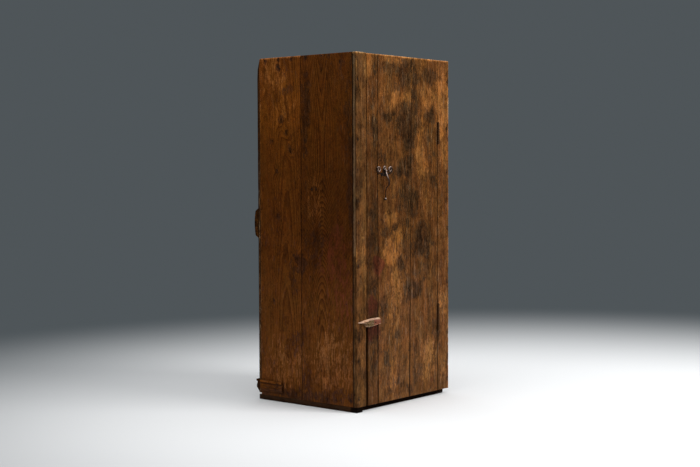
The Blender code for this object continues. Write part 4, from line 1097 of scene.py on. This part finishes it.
def build_nails():
    """Nail heads of the sides, stiles, back, mouldings and door, with the clenched points inside the door."""
    sides = Heads("side_nails", "carcass")
    for along, height, radius in SIDE_NAILS:
        board = "front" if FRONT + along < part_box("left_side_rear_board")[0].y else "rear"
        sides.add(f"left_side_{board}_board", (LEFT, FRONT + along, height), RIGHTWARDS, radius)
        mirrored = (RIGHT, FRONT + along + RIGHT_SHIFT[0], height + RIGHT_SHIFT[1])
        sides.add(f"right_side_{board}_board", mirrored, -RIGHTWARDS, radius, proud=0.0)
    sides.finish()
    stiles = Heads("stile_nails", "carcass")
    for along, height, radius in STILE_NAILS:
        node = "left_stile" if along < 0.1 else "right_stile"
        stiles.add(node, (LEFT + along, FRONT, height), BACKWARDS, radius)
    stiles.finish()
    back = Heads("back_nails", "carcass")
    for number in range(1, 5):
        node = f"back_board_{number}"
        low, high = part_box(node)
        for share in BACK_NAIL_SHARES:
            for height in (low.z + END_NAILS[0], *BACK_NAIL_HEIGHTS, TOP - END_NAILS[1]):
                place = (low.x + (high.x - low.x) * share, high.y, height + 0.004 * share)
                back.add(node, place, -BACKWARDS, BACK_NAIL_RADIUS)
    for node, height in LEDGE_NAIL_HEIGHTS.items():
        for across in LEDGE_NAILS:
            place = (across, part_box(node)[1].y, height + 0.01 * across)
            back.add(node, place, -BACKWARDS, BACK_NAIL_RADIUS, proud=0.0)
    for along, height, radius in MOULDING_NAILS:
        back.add("side_moulding", (LEFT, FRONT + along, height), RIGHTWARDS, radius)
    back.finish()
    door = Heads("door_nails", "door")
    clenches = Heads("door_nail_points", "door")
    for ledge in ("lower", "middle", "upper"):
        node = f"door_{ledge}_ledge"
        low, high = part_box(node)
        for number, along, lift in DOOR_NAILS:
            height = (low.z + high.z) / 2 + lift
            outer = (LEFT + along, FRONT, height)
            door.add(f"door_board_{number}", outer, BACKWARDS, DOOR_NAIL_RADIUS, proud=0.0005)
            inner = (LEFT + along + CLENCH_SHIFT, high.y, height)
            clenches.add(node, inner, -BACKWARDS, CLENCH_RADIUS, stretch=CLENCH_STRETCH)
    door.finish()
    clenches.finish()


def stadium(start, end, radius, points=8):
    """A closed outline at one distance round two centres, each given as a pair."""
    heading = math.atan2(end[1] - start[1], end[0] - start[0])
    outline = []
    for centre, turn in ((end, -0.5), (start, 0.5)):
        for step in range(points + 1):
            angle = heading + math.pi * (turn + step / points)
            outline.append((centre[0] + radius * math.cos(angle), centre[1] + radius * math.sin(angle)))
    return outline


class Forging:
    """Forged rods, rings and plates, joined into one mesh whose tops and fronts carry a painted highlight."""

    def __init__(self, node, body):
        self.node, self.body = node, body
        self.shape = bmesh.new()
        self.strength = self.shape.verts.layers.float.new("strength")

    def skin(self, rings, strengths, closed=False):
        """Joins rings of points into a closed skin; each ring has its own strength of painted highlight."""
        layers = []
        for ring, strength in zip(rings, strengths):
            layers.append([self.shape.verts.new(point) for point in ring])
            for vertex in layers[-1]:
                vertex[self.strength] = strength
        join_rings(self.shape, layers, closed)

    def rod(self, line, flat, widths, depths, strengths, closed=False):
        """A rod along a line that lies in a plane: widths across the plane, depths within it."""
        rings = []
        for number, point in enumerate(line):
            before = line[number - 1] if closed or number else point
            after = line[(number + 1) % len(line)] if closed or number < len(line) - 1 else point
            inward = (after - before).normalized().cross(flat)
            hammered = 1.0 + 0.10 * swing(*(point * 160))
            width, depth = widths[number] * hammered, depths[number] * hammered
            rings.append(circle(point, flat * width, inward * depth, ROD_SIDES))
        self.skin(rings, strengths, closed)

    def ball(self, centre, radius, strength):
        rings = []
        for step in range(1, 8):
            angle = math.pi * step / 8
            reach, rise = radius * math.sin(angle), radius * math.cos(angle)
            rings.append(circle(centre + UPWARDS * rise, RIGHTWARDS * reach, BACKWARDS * reach, 12))
        self.skin(rings, [strength] * len(rings))

    def plate(self, start, end, radius, axis, low, high, bevel, strength):
        """A flat plate with round ends, its rims bevelled, square to one axis."""
        rings = []
        for place, inset in ((low, bevel), (low + bevel, 0.0), (high - bevel, 0.0), (high, bevel)):
            ring = []
            for first, second in stadium(start, end, radius - inset):
                ring.append(Vector((place, first, second) if axis == X else (first, place, second)))
            rings.append(ring)
        self.skin(rings, [strength] * 4)

    def finish(self):
        bmesh.ops.remove_doubles(self.shape, verts=self.shape.verts, dist=0.000001)
        mesh = bpy.data.meshes.new(self.node)
        self.shape.to_mesh(mesh)
        self.shape.free()
        close_shape(mesh, 40)
        strength = np.zeros(len(mesh.vertices), dtype=np.float32)
        mesh.attributes["strength"].data.foreach_get("value", strength)
        mesh.attributes.remove(mesh.attributes["strength"])
        normals = np.array([vertex.normal for vertex in mesh.vertices])
        # Painted highlight, strongest on the faces that look towards the light
        facing = normals @ np.array(HIGHLIGHT_SIDE)
        write_attribute(mesh, "rub", strength * smooth(facing, 0.15, 0.85))
        add_piece(f"{self.node}_iron", mesh, "iron", self.body, (self.node,))


def scroll(centre_x, centre_z, hand):
    """One scroll of the plate, from straight below its centre inwards; hand is 1 to the right."""
    line = []
    for share in np.linspace(0.0, 1.0, SCROLL_POINTS):
        angle = hand * math.tau * SCROLL_TURNS * share - math.pi / 2
        radius = SCROLL_RADII[0] + (SCROLL_RADII[1] - SCROLL_RADII[0]) * share
        line.append((centre_x + radius * math.cos(angle), centre_z + radius * math.sin(angle)))
    return line


def build_scroll_plate(pivot):
    """A rod scrolled at both ends, a round boss and a nailed bar, an eye above and two ears for the pin."""
    iron = Forging("scroll_plate", "door")
    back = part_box("scroll_plate")[1].y
    front = back - PLATE_THICKNESS
    half = SCROLL_SPACING / 2
    left = scroll(pivot.x - half, pivot.z + SCROLL_RISE, -1)
    right = scroll(pivot.x + half, pivot.z + SCROLL_RISE, 1)
    shares = np.linspace(0, 1, 9)[1:-1]
    middle = [(left[0][0] + (right[0][0] - left[0][0]) * share, left[0][1]) for share in shares]
    route = [*reversed(left), *middle, *right]
    away = np.abs(np.linspace(-1.0, 1.0, len(route)))
    radii = ROD_RADII[0] + (ROD_RADII[1] - ROD_RADII[0]) * smooth(away, 0.2, 1.0)
    radii[:2] = radii[-2:] = ROD_RADII[1] * 1.35
    line = [Vector((across, back - ROD_SEAT - radius, up)) for (across, up), radius in zip(route, radii)]
    iron.rod(line, BACKWARDS, radii, radii, 0.35 + 0.95 * smooth(away, 0.25, 0.5))
    iron.plate((pivot.x, pivot.z), (pivot.x, pivot.z), BOSS_RADIUS, Y, front, back, PLATE_BEVEL, 0.0)
    bar = pivot.z - BAR_DROP
    ends = ((pivot.x - BAR_HALF, bar), (pivot.x + BAR_HALF, bar))
    iron.plate(*ends, BAR_RADIUS, Y, front, back, PLATE_BEVEL, 0.45)
    for hand in (-1, 1):
        inner = pivot.x + hand * EAR_INNER
        low, high = sorted((inner, inner + hand * EAR_THICKNESS))
        iron.plate((pivot.y, pivot.z), (front, pivot.z), EAR_RADIUS, X, low, high, EAR_BEVEL, 0.5)
    eye = Vector((pivot.x, back - ROD_SEAT - EYE_ROD, pivot.z + EYE_RISE))
    ring = circle(eye, RIGHTWARDS * EYE_RADIUS, UPWARDS * EYE_RADIUS, 20)
    thick = [EYE_ROD] * len(ring)
    iron.rod(ring, BACKWARDS, thick, thick, [1.2] * len(ring), closed=True)
    iron.finish()


def build_drop_handle(pivot):
    """The drop handle: a knuckle on the pin, a leaf that bows outwards, a thin stem and a ball."""
    iron = Forging("drop_handle", "handle")
    drops, reaches, widths, depths = np.array(HANDLE_LINE).T
    places = np.array([ROD_START, *np.linspace(EVEN_START, 1.0, 40)])
    reach = np.interp(places, drops, reaches)
    reach[2:-2] = (reach[1:-3] + 2 * reach[2:-2] + reach[3:-1]) / 4
    line = [pivot - Vector((0, out, down * HANDLE_LENGTH)) for out, down in zip(reach, places)]
    # Strength of the painted highlight along the handle
    rubbed = np.interp(places, *HANDLE_HIGHLIGHTS)
    width, depth = np.interp(places, drops, widths), np.interp(places, drops, depths)
    iron.rod(line, RIGHTWARDS, width, depth, rubbed)
    rings = []
    half, bevel = KNUCKLE_HALF, KNUCKLE_BEVEL
    section = (
        (-half, PIN_ROOM), (-half, KNUCKLE_RADIUS - bevel), (bevel - half, KNUCKLE_RADIUS),
        (half - bevel, KNUCKLE_RADIUS), (half, KNUCKLE_RADIUS - bevel), (half, PIN_ROOM),
    )
    for spread in circle(Vector(), BACKWARDS, UPWARDS, 16):
        rings.append([pivot + RIGHTWARDS * across + spread * radius for across, radius in section])
    iron.skin(rings, [1.3] * len(rings), closed=True)
    low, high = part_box("drop_handle")
    iron.ball(Vector((pivot.x, high.y - BALL_RADIUS, low.z + BALL_RADIUS)), BALL_RADIUS * 0.99, 0.8)
    iron.finish()


def build_board(board):
    grid, count, wear, dirt_and_shade = plank_grid(board)
    mesh = grid_object(board.node, grid, count)
    close_shape(mesh)
    add_wood(board, mesh, wear.ravel(), dirt_and_shade.ravel())


# How light the plain outside boards are at a height, which are paler near the floor and the top
PLAIN_LEVELS = ((0.05, 1.15), (0.40, 1.10), (0.90, 0.90), (1.30, 1.00), (1.60, 1.15))
BOARDS = [
    # The left side's levels paint the fall-off of light over it, together with its own tone
    Board(
        "left_side_front_board", Z, X, "low", FINE_STEP, heart=0.585, depth=0.030, taper=0.0,
        rise=((1.10, 0.42, 1.30, 0.22),), rings=118.0, contrast=1.05, grime=0.06, ends=(0.1, 0.25),
        rounding=((1, 0.0022),),
        levels=(
            (0.05, 1.25), (0.20, 1.20), (0.40, 1.35), (0.62, 1.00), (0.80, 0.82), (1.00, 0.80), (1.22, 1.05),
            (1.60, 1.25),
        ),
    ),
    Board(
        "left_side_rear_board", Z, X, "low", FINE_STEP, heart=0.35, depth=0.11, taper=0.03,
        pores=0.09, grime=0.08, open=(1,), wear=0.8, ends=(0.1, 0.7), rounding=((0, 0.0022),),
        levels=(
            (0.05, 1.15), (0.20, 1.30), (0.42, 1.15), (0.80, 1.08), (1.15, 1.12), (1.38, 1.76), (1.60, 1.56),
        ),
        knots=(
            (0.149, 1.312, 0.015), (0.118, 1.256, 0.011), (0.100, 1.182, 0.010), (0.172, 0.864, 0.011),
            (0.055, 0.673, 0.017), (0.180, 1.075, 0.009), (0.205, 1.215, 0.008), (0.094, 1.165, 0.008),
        ),
    ),
    Board(
        "left_stile", Z, Y, "low", FINE_STEP, heart=1.6, depth=0.05, contrast=0.7, grime=0.2, ends=(0.1, 0.9),
        rounding=((0, 0.0030), (1, 0.0018)), free=(0, 1), side_dirt=0.15,
        levels=((0.2, 1.05), (0.5, 1.0), (0.7, 1.15), (1.0, 0.88), (1.3, 1.0)),
        splits=((0.42, 0.95, 1.5, 0.0009, 0.0016), (0.66, 0.25, 0.75, 0.0008, 0.0014)),
        rubs=((0, 0.62, 0.78, 0.5), (0, 1.45, 1.6, 0.6), (1, 0.42, 0.9, 0.35)),
        seams=((1, 0.02, 0.40, 0.60),),
    ),
    Board(
        "right_stile", Z, Y, "low", FINE_STEP, heart=-0.4, depth=0.04, open=(1,), ends=(0.1, 0.8),
        levels=(
            (0.15, 1.06), (0.45, 1.12), (0.70, 1.02), (0.95, 1.03), (1.15, 0.94), (1.40, 1.38), (1.60, 0.98),
        ),
        rubs=((0, 0.94, 0.98, 1.0), (0, 1.30, 1.62, 0.40), (1, 1.30, 1.45, 0.5)),
    ),
    Board(
        "door_board_1", Z, Y, "low", FINE_STEP, heart=1.3, depth=0.05, grime=0.2, ends=(0.1, 0.8),
        rounding=((0, 0.0012), (1, 0.0023)), free=(0,),
        levels=(
            (0.25, 0.84), (0.36, 0.54), (0.60, 0.64), (0.95, 0.66), (1.12, 0.66), (1.32, 0.98), (1.60, 0.95),
        ),
        rubs=((0, 1.50, 1.60, 0.5),),
        seams=((1, 0.05, 0.50, 1.10), (1, 0.80, 1.55, 0.35)),
        splits=((0.45, 0.05, 0.36, 0.0008, 0.0014),),
    ),
    Board(
        "door_board_2", Z, Y, "low", FINE_STEP, heart=0.45, taper=0.03, contrast=0.6,
        ends=(0.1, 0.8), rounding=((0, 0.0023), (1, 0.0023)),
        levels=(
            (0.10, 1.15), (0.40, 1.00), (0.54, 1.12), (0.74, 0.98), (0.82, 0.80), (1.25, 0.78), (1.38, 1.00),
            (1.54, 0.96), (1.60, 1.16),
        ),
        rubs=((0, 0.80, 1.60, 0.22), (0, 0.10, 0.36, 0.30), (1, 1.42, 1.58, 0.45)),
        seams=((1, 0.0, 0.48, 0.70), (1, 0.48, 0.84, 0.30)),
        splits=((0.47, 0.04, 0.52, 0.0008, 0.0012),),
    ),
    Board(
        "door_board_3", Z, Y, "low", FINE_STEP, heart=0.7, depth=0.05, taper=-0.03, contrast=0.65,
        ends=(0.1, 0.8), rounding=((0, 0.0023), (1, 0.0023)),
        levels=(
            (0.15, 1.05), (0.45, 0.98), (0.65, 0.80), (1.00, 0.74), (1.12, 0.86), (1.30, 0.93), (1.45, 0.98),
        ),
        rubs=((0, 1.42, 1.58, 0.5), (1, 0.94, 0.98, 0.9), (1, 1.30, 1.62, 0.35)),
        seams=((0, 0.0, 0.48, 0.20),),
    ),
    Board(
        "right_side_front_board", Z, X, "high", MIDDLE_STEP, heart=0.4, taper=0.05, grime=0.2,
        levels=PLAIN_LEVELS,
    ),
    Board(
        "right_side_rear_board", Z, X, "high", MIDDLE_STEP, heart=0.6, taper=-0.04, grime=0.2, open=(2,),
        wear=0.7, levels=PLAIN_LEVELS,
    ),
    Board("top_front_board", X, Z, "high", MIDDLE_STEP, depth=0.08, grime=0.3),
    Board("top_rear_board", X, Z, "high", MIDDLE_STEP, heart=0.3, depth=0.08, grime=0.3),
    # The left runner's levels paint it lighter against the shade under the side, and darker towards the floor
    Board(
        "left_runner", Y, Z, "none", BASE_STEP, heart=1.2, ends=(0.0, 0.2), levels=((0.0, 1.40), (0.04, 3.30))
    ),
    Board("right_runner", Y, Z, "none", heart=1.2, rounding=((1, 0.012),)),
    # The front rail's low level paints the deep shadow it lies in under the door
    Board("front_rail", X, Y, "none", BASE_STEP, levels=((0.0, 0.10),)),
    Board("back_rail", X, Y, "none"),
    Board("bottom_front_board", X, Z, "none", heart=0.4),
    Board("bottom_rear_board", X, Z, "none", heart=0.7),
]
for number, heart in enumerate((0.4, 0.6, 1.2, 0.3), start=1):
    looks = dict(heart=heart, taper=0.04 * (-1) ** number, levels=PLAIN_LEVELS)
    BOARDS.append(Board(f"back_board_{number}", Z, Y, "high", depth=0.05, grime=0.25, side_dirt=0.6, **looks))
for number, level in enumerate(("lower", "middle", "upper")):
    for place in ("front", "rear"):
        node = f"{level}_shelf_{place}_board"
        BOARDS.append(Board(node, X, Z, "none", heart=0.3 + 0.2 * number, depth=0.04, taper=0.03))
    for side in ("left", "right"):
        BOARDS.append(Board(f"{side}_{level}_cleat", Y, X, "none", heart=1.5))
    looks = dict(heart=0.5 + 0.2 * number, depth=0.05, rounding=((2, 0.008), (3, 0.008)))
    BOARDS.append(Board(f"door_{level}_ledge", X, Y, "none", **looks))
# The mouldings: node, axis, growth rings in a metre and how light the wood is
MOULDINGS = (
    ("back_ledge", X, 150.0, 0.60), ("back_moulding", X, 150.0, 0.80), ("side_moulding", Y, 200.0, 1.60)
)


def build_stage():
    """A pale floor that fades into the plain grey-blue backdrop."""
    material, n, shader = new_material("floor")
    place = n.put("ShaderNodeTexCoord", output="Object")
    distance = n.put("ShaderNodeVectorMath", {0: place, 1: POOL_CENTRE}, output=1, operation="DISTANCE")
    shader.inputs["Base Color"].default_value = (*FLOOR_COLOUR, 1.0)
    shader.inputs["Roughness"].default_value = 0.85
    far = n.put("ShaderNodeEmission", {"Color": (*BACKDROP_COLOUR, 1.0)})
    fade = n.step(distance, FADE_START, FADE_END)
    both = n.put("ShaderNodeMixShader", {0: fade, 1: shader.outputs[0], 2: far})
    n.link(both, n.tree.nodes["Material Output"].inputs["Surface"])
    bpy.ops.mesh.primitive_circle_add(vertices=96, radius=FLOOR_RADIUS, fill_type="NGON")
    floor = bpy.context.object
    floor.name = "floor"
    floor.data.materials.append(material)


def build_world():
    """The backdrop that the camera sees, and a soft sky that lights the cabinet."""
    world = bpy.data.worlds.new("studio")
    world.use_nodes = True
    n = Nodes(world.node_tree)
    backdrop = world.node_tree.nodes["Background"]
    backdrop.inputs["Color"].default_value = (*BACKDROP_COLOUR, 1.0)
    soft = n.put("ShaderNodeBackground", {"Color": (*SKY_COLOUR, 1.0), "Strength": SKY_STRENGTH})
    ray = n.put("ShaderNodeLightPath").node.outputs
    seen = n.math("MAXIMUM", ray["Is Camera Ray"], ray["Is Glossy Ray"])
    seen = n.math("MAXIMUM", seen, ray["Is Transmission Ray"])
    both = n.put("ShaderNodeMixShader", {0: seen, 1: soft, 2: backdrop.outputs[0]})
    n.link(both, world.node_tree.nodes["World Output"].inputs["Surface"])
    bpy.context.scene.world = world


def build_lamp(name, place, target, size, power):
    data = bpy.data.lights.new(name, "AREA")
    data.size = size
    data.energy = power
    lamp = bpy.data.objects.new(name, data)
    bpy.context.scene.collection.objects.link(lamp)
    direction = Vector(target) - Vector(place)
    lamp.matrix_world = Matrix.Translation(place) @ direction.to_track_quat("-Z", "Y").to_matrix().to_4x4()


def build_camera():
    camera = bpy.data.objects.new("camera", bpy.data.cameras.new("camera"))
    bpy.context.scene.collection.objects.link(camera)
    camera.data.lens = CAMERA_LENS
    camera.data.sensor_width = CAMERA_SENSOR
    camera.matrix_world = (
        Matrix.Translation(CAMERA_PLACE)
        @ Matrix.Rotation(math.radians(CAMERA_YAW), 4, "Z")
        @ Matrix.Rotation(math.radians(90 + CAMERA_PITCH), 4, "X")
        @ Matrix.Rotation(math.radians(CAMERA_ROLL), 4, "Z")
    )
    bpy.context.scene.camera = camera


build_camera()
build_stage()
build_world()
for lamp in LAMPS:
    build_lamp(*lamp)
bpy.context.scene.view_settings.view_transform = "Standard"

for board in BOARDS:
    build_board(board)
for node, along, rings, level in MOULDINGS:
    looks = dict(heart=1.4, depth=0.03, rings=rings, grime=0.2, levels=((0.0, level),), pores=0.03)
    build_moulding(Board(node, along, X + Y - along, "all", **looks))
build_button()
build_nails()
handle_pivot = Vector(next(joint for joint in frame["joints"] if joint["name"] == "handle_lift")["pos_m"])
build_scroll_plate(handle_pivot)
build_drop_handle(handle_pivot)
for name, node in frame["nodes"].items():
    node.data.materials.clear()
    node.data.materials.append(MATERIALS[SLOTS[name]])
